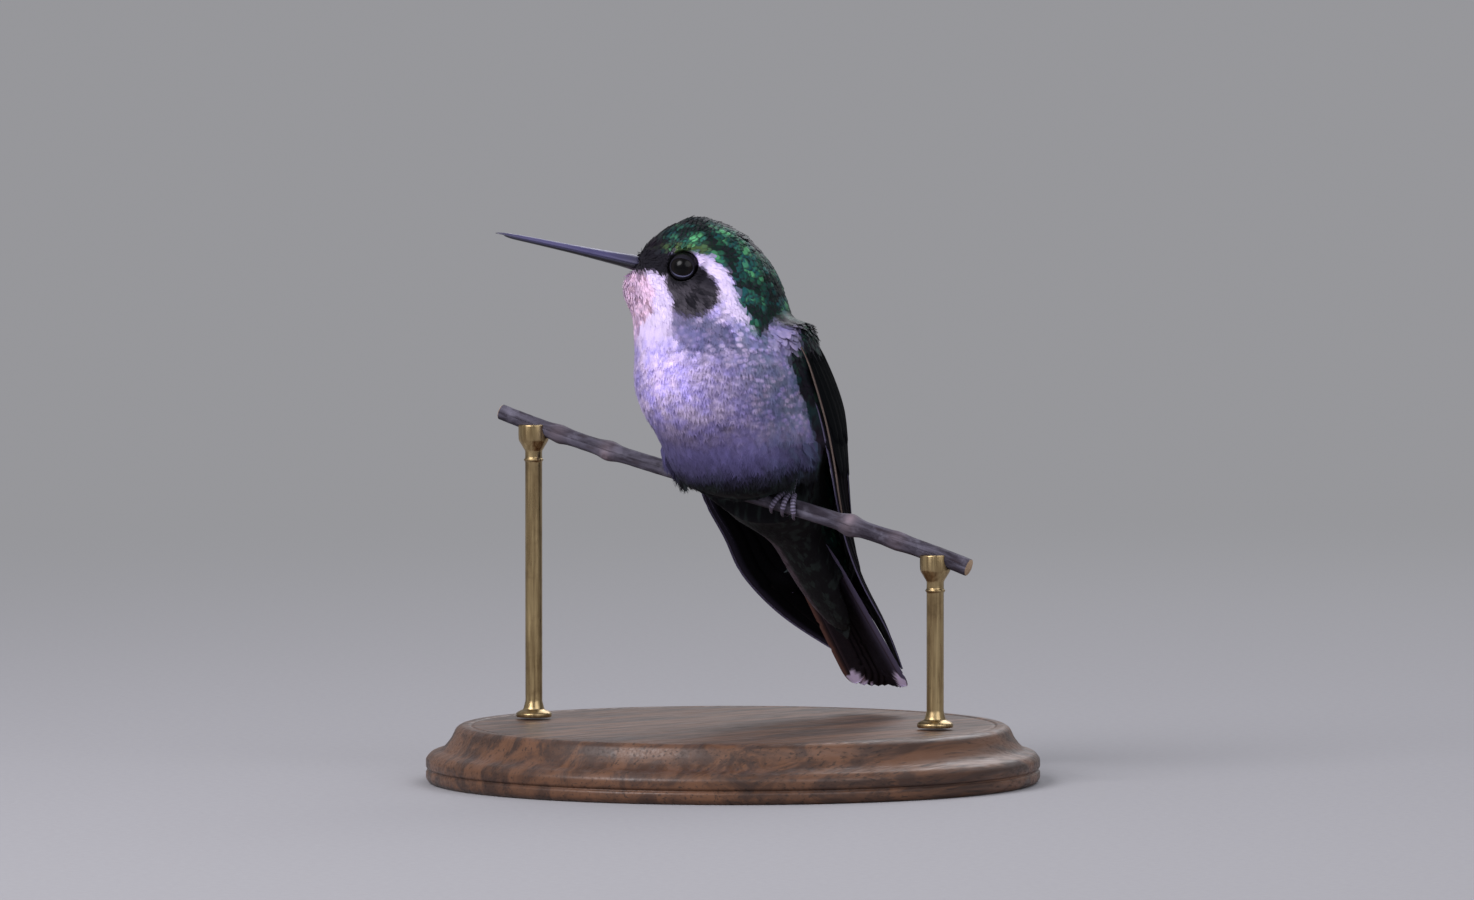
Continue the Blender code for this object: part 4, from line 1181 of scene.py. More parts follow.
def plume(width, bend, arch, barbs, spread, seed):
    """A soft body feather: a short web, and loose barbs that leave the shaft and sweep toward the tip."""
    chance = np.random.RandomState(seed)
    web_vertices, faces, web_numbers = blade(width * 0.85, bend * 0.5, arch, 3, 0.6)
    vertices = [(x, y * 0.76, z) for x, y, z in web_vertices]
    numbers = [(u, v * 0.76, 0.0) for u, v, _ in web_numbers]
    for index in range(barbs):
        share = (index + 0.5) / barbs
        side = 1.0 if index % 2 else -1.0
        start = 0.3 + 0.42 * share + chance.uniform(-0.03, 0.03)
        end = min(start + 0.32 + 0.06 * share, 1.0) + chance.uniform(-0.06, 0.06)
        across = side * (1.0 - 0.75 * share**1.5) * (1.0 + spread * chance.uniform(-0.6, 1.0))
        base = (0.12 * width * across, start, arch - bend * start**2)
        tip = (width * across, end, chance.uniform(-0.004, 0.008) - bend * end**2)
        shape = barb(base, tip, 0.028, 0.012, [(0.12 * across, start, 0.0), (across, end, 0.0)])
        shift = len(vertices)
        vertices += shape[0]
        faces += [tuple(i + shift for i in face) for face in shape[1]]
        numbers += shape[2]
    return vertices, faces, numbers


def feather_object(name, shape, collection):
    """A feather shape of unit length, one metre long, that the trees copy at each root."""
    vertices, faces, numbers = shape
    mesh = mesh_from(name, np.array(vertices) / MM, faces)
    mesh.set_sharp_from_angle(angle=math.radians(55))
    put_numbers(mesh, "vane", numbers)
    piece = bpy.data.objects.new(name, mesh)
    collection.objects.link(piece)
    return piece


# Width and bend of each variant, for a length of 1, and for the soft ones the seed of their barbs.
SCALE_SHAPES = ((0.34, 0.03), (0.3, 0.04), (0.37, 0.02))
LANCE_SHAPES = ((0.17, 0.02), (0.14, 0.03), (0.2, 0.01))
SOFT_SHAPES = ((0.26, 0.01, 3), (0.22, 0.015, 6), (0.3, 0.005, 9))


def feather_shapes():
    """The kinds of body feather, each a small collection of variants."""
    kinds = {
        "scale": [blade(w, b, 0.025, 5, 0.5) for w, b in SCALE_SHAPES],
        "lance": [blade(w, b, 0.015, 4, 0.85) for w, b in LANCE_SHAPES],
        "soft": [plume(w, b, 0.01, 14, 0.2, seed) for w, b, seed in SOFT_SHAPES],
    }
    made = {}
    for kind, shapes in kinds.items():
        holder = bpy.data.collections.new(f"{kind}_feathers")
        for index, shape in enumerate(shapes):
            feather_object(f"{kind}_feather_{index}", shape, holder)
        made[kind] = holder
    return made


# ---------------------------------------------------------------- the tree that grows the coat
class Growth(Shade):
    """The calls that a geometry tree needs as well."""

    def named(self, name, kind):
        made = self.node("GeometryNodeInputNamedAttribute", {"Name": name}, data_type=kind)
        return made.outputs["Attribute"]

    def around(self, spread, seed, salt):
        """A random number from -spread to spread for each root."""
        inputs = {2: self.times(spread, -1.0), 3: spread, "Seed": self.plus(seed, salt)}
        return self.node("FunctionNodeRandomValue", inputs, data_type="FLOAT").outputs[1]

    def stored(self, geometry, name, kind, domain, value):
        """The geometry with one more attribute."""
        inputs = {"Geometry": geometry, "Name": name, "Value": value}
        made = self.node("GeometryNodeStoreNamedAttribute", inputs, data_type=kind, domain=domain)
        return made.outputs["Geometry"]


PACKING = 1.6  # roots offered for each square of the spacing, before the too close ones go
BAKE_PATCH = (0.0015, 0.003, 0.0)  # how much of the skin's map one feather spans


def coat_tree():
    """Feathers over a skin: spread evenly where a zone allows, laid along the coat and tipped up."""
    tree = bpy.data.node_groups.new("grow_coat", "GeometryNodeTree")
    sockets = (
        ("Geometry", "NodeSocketGeometry", None),
        ("Shapes", "NodeSocketCollection", None),
        ("Region", "NodeSocketString", ""),
        ("Spacing", "NodeSocketFloat", 0.0005),
        ("Length", "NodeSocketFloat", 0.002),
        ("Length Spread", "NodeSocketFloat", 0.15),
        ("Lift", "NodeSocketFloat", 0.2),
        ("Lift Spread", "NodeSocketFloat", 0.05),
        ("Turn Spread", "NodeSocketFloat", 0.1),
        ("Sink", "NodeSocketFloat", 0.0001),
        ("Seed", "NodeSocketInt", 0),
        ("Material", "NodeSocketMaterial", None),
    )
    for name, kind, value in sockets:
        socket = tree.interface.new_socket(name, in_out="INPUT", socket_type=kind)
        if value is not None:
            socket.default_value = value
    tree.interface.new_socket("Geometry", in_out="OUTPUT", socket_type="NodeSocketGeometry")
    grow = Growth(tree)
    given = grow.node("NodeGroupInput").outputs
    spacing, seed = given["Spacing"], given["Seed"]
    spread = {
        "Mesh": given["Geometry"],
        "Distance Min": spacing,
        "Density Max": grow.math("DIVIDE", PACKING, grow.times(spacing, spacing)),
        "Density Factor": grow.named(given["Region"], "FLOAT"),
        "Seed": seed,
    }
    kind = "GeometryNodeDistributePointsOnFaces"
    roots = grow.node(kind, spread, distribute_method="POISSON").outputs
    tint = grow.node("FunctionNodeRandomValue", {"Seed": grow.plus(seed, 11.0)}, data_type="FLOAT")
    skin_map = grow.named("OFBake", "FLOAT_VECTOR")
    placed = grow.stored(roots["Points"], "root_place", "FLOAT2", "POINT", skin_map)
    placed = grow.stored(placed, "tint", "FLOAT", "POINT", tint.outputs[1])

    axes = {"Primary Axis": roots["Normal"], "Secondary Axis": grow.named("lay", "FLOAT_VECTOR")}
    lay = grow.node("FunctionNodeAxesToRotation", axes, primary_axis="Z", secondary_axis="Y")
    tip_up = grow.plus(given["Lift"], grow.around(given["Lift Spread"], seed, 3.0))
    swing = grow.around(given["Turn Spread"], seed, 5.0)
    roll = grow.times(grow.around(given["Turn Spread"], seed, 7.0), 0.6)
    lean = grow.node("ShaderNodeCombineXYZ", {0: tip_up, 1: roll, 2: swing})
    euler = grow.node("FunctionNodeEulerToRotation", {0: lean.outputs[0]})
    turns = {0: lay.outputs[0], 1: euler.outputs[0]}
    turn = grow.node("FunctionNodeRotateRotation", turns, rotation_space="LOCAL")

    stretch = grow.plus(1.0, grow.around(given["Length Spread"], seed, 9.0))
    length = grow.times(given["Length"], grow.named("size", "FLOAT"), stretch)
    down = grow.scaled(roots["Normal"], grow.times(given["Sink"], -1.0))
    sunk = grow.node("GeometryNodeSetPosition", {"Geometry": placed, "Offset": down})

    kinds = {"Collection": given["Shapes"], "Separate Children": True, "Reset Children": True}
    shapes = grow.node("GeometryNodeCollectionInfo", kinds)
    choice = {5: 2, "Seed": grow.plus(seed, 13.0)}
    pick = grow.node("FunctionNodeRandomValue", choice, data_type="INT")
    copying = {
        "Points": sunk.outputs["Geometry"],
        "Instance": shapes.outputs[0],
        "Pick Instance": True,
        "Instance Index": pick.outputs[2],
        "Rotation": turn.outputs[0],
        "Scale": length,
    }
    copies = grow.node("GeometryNodeInstanceOnPoints", copying)
    real = grow.node("GeometryNodeRealizeInstances", {0: copies.outputs["Instances"]})
    vane, root = grow.named("vane", "FLOAT_VECTOR"), grow.named("root_place", "FLOAT_VECTOR")
    spot = grow.node("ShaderNodeVectorMath", {0: vane, 1: BAKE_PATCH, 2: root}, operation="MULTIPLY_ADD")
    mapped = grow.stored(real.outputs[0], "OFBake", "FLOAT2", "CORNER", spot.outputs[0])
    finish = grow.node("GeometryNodeSetMaterial", {"Geometry": mapped, "Material": given["Material"]})
    grow.node("NodeGroupOutput", {0: finish.outputs[0]})
    return tree


def grow_coat(name, skin, tree, region, look, shapes, spacing, length, slot, changes):
    """One piece of coat, as a plain mesh."""
    holder = new_object(name, skin.data)
    growth = holder.modifiers.new("coat", "NODES")
    growth.node_group = tree
    values = {"Shapes": shapes, "Region": region, "Spacing": spacing * SPARSE * MM, "Length": length * MM}
    values |= {"Material": look} | changes
    for socket in tree.interface.items_tree:
        if socket.in_out == "INPUT" and socket.name in values:
            growth[socket.identifier] = values[socket.name]
    applied(holder)
    keep(holder, slot)


# ---------------------------------------------------------------- stiff feathers
WEB_COLUMNS = np.array([-1.0, -0.72, -0.42, -0.16, -0.05, 0.0, 0.05, 0.16, 0.42, 0.72, 1.0])


def web_widths(run, outer, inner, tip_length, chance, splits):
    """Half widths of both webs along a feather, rounded at the tip, with a few places where barbs part."""
    swell = 0.35 + 0.65 * ease(run, 0.0, 0.22)
    close = np.sqrt(np.clip(1.0 - (1.0 - np.clip((1.0 - run) / tip_length, 0.0, 1.0)) ** 2, 0.0, 1.0))
    widths = np.stack([-outer * swell * close, inner * swell * close])
    for _ in range(splits):
        row = chance.randint(len(run) // 3, len(run) - 3)
        widths[chance.randint(2), row] *= chance.uniform(0.8, 0.93)
    return widths


def web_grid(widths):
    """Distance across the feather from its shaft, for each row and column."""
    u = WEB_COLUMNS
    return np.where(u < 0, -u * widths[0][:, None], u * widths[1][:, None])


def stiff_feather(centres, normals, run, thickness, shaft, edge_width, tip_from, arch=0.12, warm=0.0):
    """A closed blade through a grid of centre points, with a raised shaft that thins toward the tip."""
    u = WEB_COLUMNS
    ridge = np.exp(-((u / 0.05) ** 2))[None] * shaft * (1.0 - 0.85 * run[:, None])
    bow = arch * (1 - np.abs(u)[None] ** 1.5) * ease(run, 0.0, 0.1)[:, None]
    half = 0.5 * thickness * (1.0 - 0.7 * np.abs(u)[None] ** 2) * np.ones_like(run)[:, None]
    outer = centres + (half + ridge + bow)[..., None] * normals
    inner = centres - (half + 0.5 * ridge - bow)[..., None] * normals
    rows, columns = centres.shape[:2]
    shift = rows * columns
    faces = []
    for row in range(rows - 1):
        for column in range(columns - 1):
            a = row * columns + column
            quad = (a, a + 1, a + 1 + columns, a + columns)
            faces.append(quad)
            faces.append(tuple(index + shift for index in reversed(quad)))
    rim = list(range(columns)) + [row * columns + columns - 1 for row in range(1, rows)]
    rim += [(rows - 1) * columns + c for c in range(columns - 2, -1, -1)]
    rim += [row * columns for row in range(rows - 2, 0, -1)]
    for here, after in zip(rim, rim[1:] + rim[:1]):
        faces.append((after, here, here + shift, after + shift))
    vertices = np.concatenate([outer.reshape(-1, 3), inner.reshape(-1, 3)])
    across, along = np.meshgrid(u, run)
    vane = np.stack([across, along, np.full_like(across, warm)], axis=-1).reshape(-1, 3)
    edge = ease(across, -0.99 + edge_width, -1.0 + 0.25 * edge_width)
    white = ease(along + 0.015 * np.sin(across * 7.0) - 0.05 * np.abs(across), tip_from, tip_from + 0.012)
    marks = {"edge": edge, "shaft": np.exp(-((across / 0.07) ** 2))}
    marks["tip"] = white if tip_from < 1 else np.zeros_like(across)
    marks = {name: np.tile(values.ravel(), 2) for name, values in marks.items()}
    return vertices, faces, dict(marks, vane=np.tile(vane, (2, 1)))


def feather_fan(name, feathers, look, slot, *replaced):
    """Several stiff feathers as one piece, with the numbers that their material reads."""
    vertices, faces = joined([(v, f) for v, f, _ in feathers])
    mesh = mesh_from(name, vertices, faces)
    for key in feathers[0][2]:
        put_numbers(mesh, key, np.concatenate([marks[key] for _, _, marks in feathers]))
    mesh.materials.append(look)
    return keep(new_object(name, mesh), slot, *replaced)


# ---------------------------------------------------------------- wings
# Stations down the left folded wing: leading edge, trailing edge, and outward camber.
WING_STATIONS = (
    ((11.2, -4.2, 23.0), (8.0, 3.0, 24.4), 0.3),
    ((13.0, -1.4, 20.0), (5.2, 10.4, 20.0), 1.2),
    ((13.1, 3.0, 11.5), (2.8, 16.0, 11.5), 2.4),
    ((13.3, 5.4, 4.5), (1.9, 17.4, 4.5), 2.3),
    ((12.8, 7.8, -2.0), (2.0, 18.3, -2.0), 1.8),
    ((10.9, 12.0, -7.8), (1.7, 19.8, -7.6), 1.6),
    ((9.7, 16.6, -13.6), (1.4, 22.6, -13.2), 1.2),
    ((7.8, 24.1, -20.6), (2.0, 28.2, -19.9), 0.7),
    ((4.1, 32.0, -26.8), (2.7, 32.8, -26.3), 0.1),
)
# How far the right wing hangs out from the tail at each station, and which way.
RIGHT_SPREAD = (0.0, 0.0, 0.0, 0.0, 0.3, 1.5, 2.9, 3.1, 1.4)
SPREAD_WAY = (-0.743, -0.669, 0.0)
WING_CLEARANCE = 0.75  # of the primaries' middle over the body's coat
GRID_ROWS, GRID_COLUMNS = 73, 17
PRESSING_ROUNDS = 6  # each moves the surface clear of the body and then smooths it
PAST_EDGE = 0.12  # share of a web's width that is left past the wing's trailing edge
NARROWEST_CHORD = 2.2
BARB_GAPS = 4  # places in a feather where its barbs part


def wing_surface(side):
    """The surface that a folded wing lies in, pressed out over the body's coat, as a grid with normals."""
    trees = [BVHTree.FromPolygons(*loose_faces(name)) for name in ("neck", "trunk", "rump")]
    shares = np.linspace(0.0, 1.0, GRID_ROWS)
    grid = np.zeros((GRID_ROWS, GRID_COLUMNS, 3))
    for row, share in enumerate(shares):
        lead = curve_through([s[0] for s in WING_STATIONS], share)
        trail = curve_through([s[1] for s in WING_STATIONS], share)
        camber = curve_through([[s[2]] for s in WING_STATIONS], share)[0]
        out = unit(np.cross([0.0, 0.25, -1.0], trail - lead))
        spread = curve_through([[s] for s in RIGHT_SPREAD], share)[0] if side < 0 else 0.0
        for column, v in enumerate(np.linspace(0.0, 1.0, GRID_COLUMNS)):
            place = lead + v * (trail - lead) + out * camber * 4 * v * (1 - v)
            grid[row, column] = place * (side, 1.0, 1.0) + spread * (1 - v) * np.array(SPREAD_WAY)
    grid = grid + PERCH
    for _ in range(PRESSING_ROUNDS):
        for row in range(GRID_ROWS):
            for column in range(GRID_COLUMNS):
                grid[row, column] += push_out(trees, grid[row, column])
        grid[1:-1, 1:-1] = 0.5 * grid[1:-1, 1:-1] + 0.125 * (
            grid[:-2, 1:-1] + grid[2:, 1:-1] + grid[1:-1, :-2] + grid[1:-1, 2:]
        )
        grid[1:-1, -1] = 0.5 * grid[1:-1, -1] + 0.25 * (grid[:-2, -1] + grid[2:, -1])
    normals = np.cross(np.gradient(grid, axis=0), np.gradient(grid, axis=1)) * side
    return grid, unit(normals)


def push_out(trees, point):
    """The step that takes a point to its clearance over the nearest solid."""
    hits = [tree.find_nearest(Vector(point)) for tree in trees]
    place, normal, _, distance = min(hits, key=lambda hit: hit[3])
    height = distance if (Vector(point) - place).dot(normal) > 0 else -distance
    if height >= WING_CLEARANCE:
        return np.zeros(3)
    return np.array(normal) * (WING_CLEARANCE - height)


def read_grid(grid, share, v):
    """Values between the grid's points, carried on in a straight line past its edges."""
    rows, columns = grid.shape[:2]
    r, c = np.clip(share, 0.0, 1.0) * (rows - 1), np.asarray(v) * (columns - 1)
    r0 = np.clip(r.astype(int), 0, rows - 2)
    c0 = np.clip(np.floor(c).astype(int), 0, columns - 2)
    a, b = (r - r0)[..., None], (c - c0)[..., None]
    top = grid[r0, c0] * (1 - b) + grid[r0, c0 + 1] * b
    return top * (1 - a) + (grid[r0 + 1, c0] * (1 - b) + grid[r0 + 1, c0 + 1] * b) * a


def wing_feather(surface, root, tip, outer, inner, lift, chance, rows, swing=1.0, **finish):
    """A stiff feather from root to tip, both as (share down the wing, share across it)."""
    grid, normals = surface
    run = 1.0 - (1.0 - np.linspace(0.0, 1.0, rows)) ** 1.25
    share = root[0] + (tip[0] - root[0]) * run
    v = root[1] + (tip[1] - root[1]) * run**swing
    lead, trail = read_grid(grid, share, np.zeros(rows)), read_grid(grid, share, np.ones(rows))
    chord = np.linalg.norm(trail - lead, axis=1)
    across = web_grid(web_widths(run, outer, inner, finish.pop("tip_length", 0.16), chance, BARB_GAPS))
    spread = v[:, None] + across / np.maximum(chord, NARROWEST_CHORD)[:, None]
    spread = np.minimum(spread, 1.0 + PAST_EDGE * (spread - 1.0))
    shares = np.repeat(share[:, None], len(WEB_COLUMNS), axis=1) + 0.004 * np.abs(WEB_COLUMNS)
    outward = unit(read_grid(normals, shares, np.clip(spread, 0.0, 1.0)))
    centres = read_grid(grid, shares, spread) + outward * lift
    return stiff_feather(centres, outward, run, **finish)


# The primaries from the outermost in: where the tip ends down and across the wing, and the shaft's swing.
PRIMARY_TIPS = (
    (1.0, 0.5, 7.0), (0.988, 0.74, 4.5), (0.965, 0.88, 3.2), (0.925, 0.94, 2.6), (0.87, 0.96, 2.2),
    (0.805, 0.96, 2.0), (0.74, 0.96, 1.8), (0.68, 0.95, 1.7), (0.62, 0.95, 1.6), (0.57, 0.95, 1.5),
)
# Rows of coverts: roots and tips down the wing, how many, half width, lift.
COVERT_ROWS = ((0.22, 0.425, 9, 1.2, 0.42), (0.14, 0.34, 10, 1.05, 0.6))


EDGE_WIDTH = 0.12  # share of the outer web that a feather's thin pale edge takes
COVERT_FINISH = {
    "thickness": 0.1, "shaft": 0.05, "edge_width": EDGE_WIDTH,
    "tip_from": 1.0, "tip_length": 0.45, "rows": 16,
}
WING_SEEDS = {"left": 17, "right": 23}
PRIMARY_ROWS = 64
SECONDARY_COUNT = 6
LEADING_WEBS = (0.4, 2.6)  # half widths of the outer and inner web
PRIMARY_WEBS = (0.6, 2.9)
SECONDARY_WEBS = (0.9, 1.5)
FLIGHT_FINISH = {"thickness": 0.1, "shaft": 0.13, "tip_from": 1.0}
# The outermost primary's wide pale edge partly paints the lavender sheen along it.
LEADING_EDGE_WIDTH = {"left": 0.8, "right": 1.4}  # on the outermost primary


def wing_coverts(surface, chance):
    """The last rows of coverts, laid over the roots of the flight feathers."""
    made = []
    for start, end, count, width, lift in COVERT_ROWS:
        for index in range(count):
            v = 0.05 + 0.92 * (index + 0.5) / count
            tip = (end + 0.012 * math.sin(index * 2.3), v + 0.03)
            height = lift + 0.03 * (index % 2)
            root = (start, v)
            made.append(wing_feather(surface, root, tip, width, width, height, chance, **COVERT_FINISH))
    return made


def build_wing(name, side, look, covert_look):
    surface = wing_surface(side)
    chance = np.random.RandomState(WING_SEEDS[name])
    sunk = (0.62 - 0.6 * np.linspace(0.0, 1.0, PRIMARY_ROWS))[:, None, None]
    hem = wing_feather(
        surface, (0.13, 0.03), (0.56, 0.01), 0.13, 0.15, sunk, chance,
        rows=PRIMARY_ROWS, edge_width=1.9, warm=1.0, **FLIGHT_FINISH
    )
    primaries = [hem] if side > 0 else []
    for from_lead, (reach, v, swing) in enumerate(PRIMARY_TIPS):
        leading = from_lead == 0
        root = (0.2, 0.04 + 0.06 * from_lead)
        outer, inner = LEADING_WEBS if leading else PRIMARY_WEBS
        lift = -0.36 + 0.07 * from_lead
        edge_width = LEADING_EDGE_WIDTH[name] if leading else EDGE_WIDTH
        looks = {"rows": PRIMARY_ROWS, "swing": swing, "edge_width": edge_width} | FLIGHT_FINISH
        primaries.append(wing_feather(surface, root, (reach, v), outer, inner, lift, chance, **looks))
    feather_fan(f"primaries_{name}", primaries, look, "flight_feather", f"wing_{name}_primaries")
    secondaries = []
    for index in range(SECONDARY_COUNT):
        root = (0.24, 0.42 + 0.08 * index)
        tip = (0.585 - 0.018 * index, 0.6 + 0.065 * index)
        lift = 0.4 + 0.085 * index
        looks = {"rows": 36, "edge_width": EDGE_WIDTH} | FLIGHT_FINISH
        secondaries.append(wing_feather(surface, root, tip, *SECONDARY_WEBS, lift, chance, **looks))
    feather_fan(f"secondaries_{name}", secondaries, look, "flight_feather", f"wing_{name}_secondaries")
    feather_fan(f"greater_coverts_{name}", wing_coverts(surface, chance), covert_look, "covert_feather")


# ---------------------------------------------------------------- tail
TAIL_START = 4.0
TAIL_END = 35.6
TAIL_CUP = 0.9
TAIL_TIPS = {4: 0.915, 3: 0.95, 2: 0.975}  # where the pale tip starts, for each rank from the middle out


def build_tail(look):
    """Ten tail feathers, the outer ones lowest, each with a rounded end."""
    chance = np.random.RandomState(31)
    feathers = []
    for rank in range(4, -1, -1):
        for side in (1.0, -1.0):
            run = 1.0 - (1.0 - np.linspace(0.0, 1.0, 60)) ** 1.3
            length = TAIL_END - 0.32 * (rank / 4) ** 2 * 4.2
            along = TAIL_START + (length - TAIL_START) * run
            shaft_line = side * ((0.3 + 0.55 * rank) * (1 - run) + (0.8 + 0.95 * rank) * run**0.75)
            near_edge = rank == 4 and side > 0
            widths = web_widths(run, 2.0 if near_edge else 1.1, 2.15 + 0.1 * rank, 0.1, chance, BARB_GAPS)
            across = -side * web_grid(widths)
            x = shaft_line[:, None] + across
            height = 0.34 - 0.165 * rank + TAIL_CUP * (0.5 - (x / 5.3) ** 2) + (0.02 if side > 0 else -0.02)
            back = 0.16 * np.abs(WEB_COLUMNS) ** 2 * ease(run, 0.9, 1.0)[:, None]
            places = np.stack([x, along[:, None] - back, height], axis=-1)
            centres = TAIL_ROOT + places @ TAIL_AXES
            normals = np.broadcast_to(TAIL_AXES[2], centres.shape)
            tip_from = TAIL_TIPS.get(rank, 1.0)
            # The near outer tail feather's wide pale outer web is partly its own paler colour and partly a
            # painted lavender sheen.
            edge = 1.7 if near_edge else (0.75 if rank == 4 else 0.16)
            warm = 1.0 if side < 0 else 0.0
            finish = {"thickness": 0.1, "shaft": 0.16, "edge_width": edge, "arch": 0.1}
            feathers.append(stiff_feather(centres, normals, run, tip_from=tip_from, warm=warm, **finish))
    feather_fan("tail_feathers", feathers, look, "tail_feather", "tail")


# ---------------------------------------------------------------- eyes
def eye_frame(name):
    """The eye's middle, its gaze, and forward and up across the gaze."""
    gaze = EYE_AIM[name]
    forward = unit(HEAD_AXES[0] - gaze * np.dot(HEAD_AXES[0], gaze))
    up = np.cross(forward, gaze) if name == "left" else np.cross(gaze, forward)
    if np.dot(up, HEAD_AXES[2]) < 0:
        up = -up
    return EYES[name], gaze, forward, up


def build_eye(name, look):
    """A ball with a slightly fuller cornea."""
    centre, gaze, forward, up = eye_frame(name)
    polar = np.linspace(0.0, math.pi, 33)[1:-1]
    turns = round_angles(48)
    rings = []
    for angle in polar:
        radius = EYE_RADIUS - 0.02 + 0.05 * ease(angle, 0.75, 0.2)
        spokes = np.cos(turns)[:, None] * forward + np.sin(turns)[:, None] * up
        rings.append(centre + radius * (math.cos(angle) * gaze + math.sin(angle) * spokes))
    vertices, faces = loft(rings)
    vertices[-2] = tuple(centre + (EYE_RADIUS + 0.03) * gaze)
    vertices[-1] = tuple(centre - (EYE_RADIUS - 0.02) * gaze)
    mesh = mesh_from(f"eyeball_{name}", vertices, faces)
    put_numbers(mesh, "gaze", unit(points_of(mesh) - centre) @ gaze)
    mesh.materials.append(look)
    keep(new_object(mesh.name, mesh), "eye_surface", f"eye_{name}")


LID_OPENING = 42.0  # degrees from the gaze to the lid's rim
LID_LENGTHENING = 6.0  # and this much more at the corners, less above and below
LID_SPAN = 13.0
LID_BROW = 4.0  # the upper lid comes this much lower


def build_lids(name, look):
    """A puckered ring of bare skin round the eye, open in a rounded almond."""
    centre, gaze, forward, up = eye_frame(name)
    turns = round_angles(96)
    steps = np.linspace(0.0, 1.0, 9)
    outer, rim_numbers = [], []
    for step in steps:
        pucker = 0.012 * np.sin(turns * 26) * math.sin(math.pi * step)
        longer = LID_LENGTHENING * np.cos(2 * turns)
        opening = np.radians(LID_OPENING - LID_BROW * np.maximum(np.sin(turns), 0) + longer)
        angle = opening + step * np.radians(LID_SPAN - longer)
        swell = 0.04 + 0.05 * math.sin(math.pi * min(step * 2.0, 1.0)) ** 0.8 * (1.0 - 0.5 * step) + pucker
        radius = (EYE_RADIUS + swell)[:, None]
        spokes = np.cos(turns)[:, None] * forward + np.sin(turns)[:, None] * up
        outer.append(centre + radius * (np.cos(angle)[:, None] * gaze + np.sin(angle)[:, None] * spokes))
        rim_numbers.append(ease(step, 0.4, 0.1) * (0.05 + 0.95 * ease(-np.sin(turns + 0.3), 0.2, 0.85)))
    inner = [centre + unit(ring - centre) * (EYE_RADIUS - 0.12) for ring in outer]
    rows, sides = len(outer), len(turns)
    vertices = np.concatenate([np.concatenate(outer), np.concatenate(inner)])
    faces = []
    for row in range(rows - 1):
        for s in range(sides):
            a, b = row * sides + s, row * sides + (s + 1) % sides
            faces.append((a, b, b + sides, a + sides))
            faces.append(tuple(i + rows * sides for i in (a, a + sides, b + sides, b)))
    for row in (0, rows - 1):
        for s in range(sides):
            a, b = row * sides + s, row * sides + (s + 1) % sides
            faces.append((a, b, b + rows * sides, a + rows * sides))
    mesh = mesh_from(f"eyelids_{name}", vertices, faces)
    put_numbers(mesh, "rim", np.tile(np.concatenate(rim_numbers), 2))
    mesh.materials.append(look)
    keep(new_object(mesh.name, mesh), "leg_skin")


# ---------------------------------------------------------------- bill
BILL_HALF_DEPTH = ((0.0, 1.15), (0.12, 0.95), (0.45, 0.66), (0.85, 0.43), (1.0, 0.24))
BILL_WIDEN = 1.12
BILL_DROOP = 0.35
BILL_HIDDEN = 2.0  # inside the face


def build_bill(upper, look):
    """Half of the bill: a ridge with flattened shoulders above, or a grooved keel below."""
    end = 1.0 if upper else 0.94
    shares = np.concatenate([[-BILL_HIDDEN / BILL_LENGTH], np.linspace(-0.03, end, 70)])
    angles = np.linspace(0.0, math.pi, 17)
    rings, along, grain = [], [], []
    side = 1.0 if upper else -1.0
    for share in shares:
        half = float(np.interp(share, *np.array(BILL_HALF_DEPTH).T))
        if share <= 0:
            half *= 1.0 + 2.0 * share
        if share > 0.93 * end:
            half *= math.sqrt(max(1.0 - ((share / end - 0.93) / 0.07) ** 2, 0.02))
        width = half * BILL_WIDEN
        height = half * (1.06 if upper else 0.78)
        droop = BILL_DROOP * (1.4 * share - share**2) - BILL_DROOP * 0.4 * share
        centre = from_head(BILL_BASE + BILL_LENGTH * share, 0.0, BILL_LEVEL + droop)
        nostril = 0.16 * math.exp(-(((share - 0.1) / 0.055) ** 2)) if upper else 0.0
        ring = []
        for a in angles:
            x, z = math.cos(a), max(math.sin(a), 0.0)
            ridge = 0.1 * math.exp(-((x / 0.22) ** 2)) * ease(share, 0.5, 0.0)
            groove = nostril * math.exp(-(((abs(x) - 0.75) / 0.14) ** 2))
            lip = 0.02 * ease(abs(x), 0.9, 1.0)
            reach = 1.0 + ridge - groove + lip - (0.0 if upper else 0.12 * math.exp(-((x / 0.2) ** 2)))
            ring.append((width * x * reach, side * (0.015 + height * z * reach)))
        ring += [(width * x, side * 0.01) for x in np.linspace(-0.8, 0.8, 5)]
        rings.append([centre + x * HEAD_AXES[1] + z * HEAD_AXES[2] for x, z in ring])
        along += [share] * len(ring)
        grain += [(x, BILL_LENGTH * share, z) for x, z in ring]
    vertices, faces = loft(rings)
    name = "bill_upper_half" if upper else "bill_lower_half"
    mesh = mesh_from(name, vertices, faces)
    put_numbers(mesh, "along", np.array(along + [shares[0], end]))
    put_numbers(mesh, "grain", np.array(grain + [grain[0], grain[-1]]) * MM)
    mesh.materials.append(look)
    keep(new_object(name, mesh), "bill_horn", "bill_upper" if upper else "bill_lower")


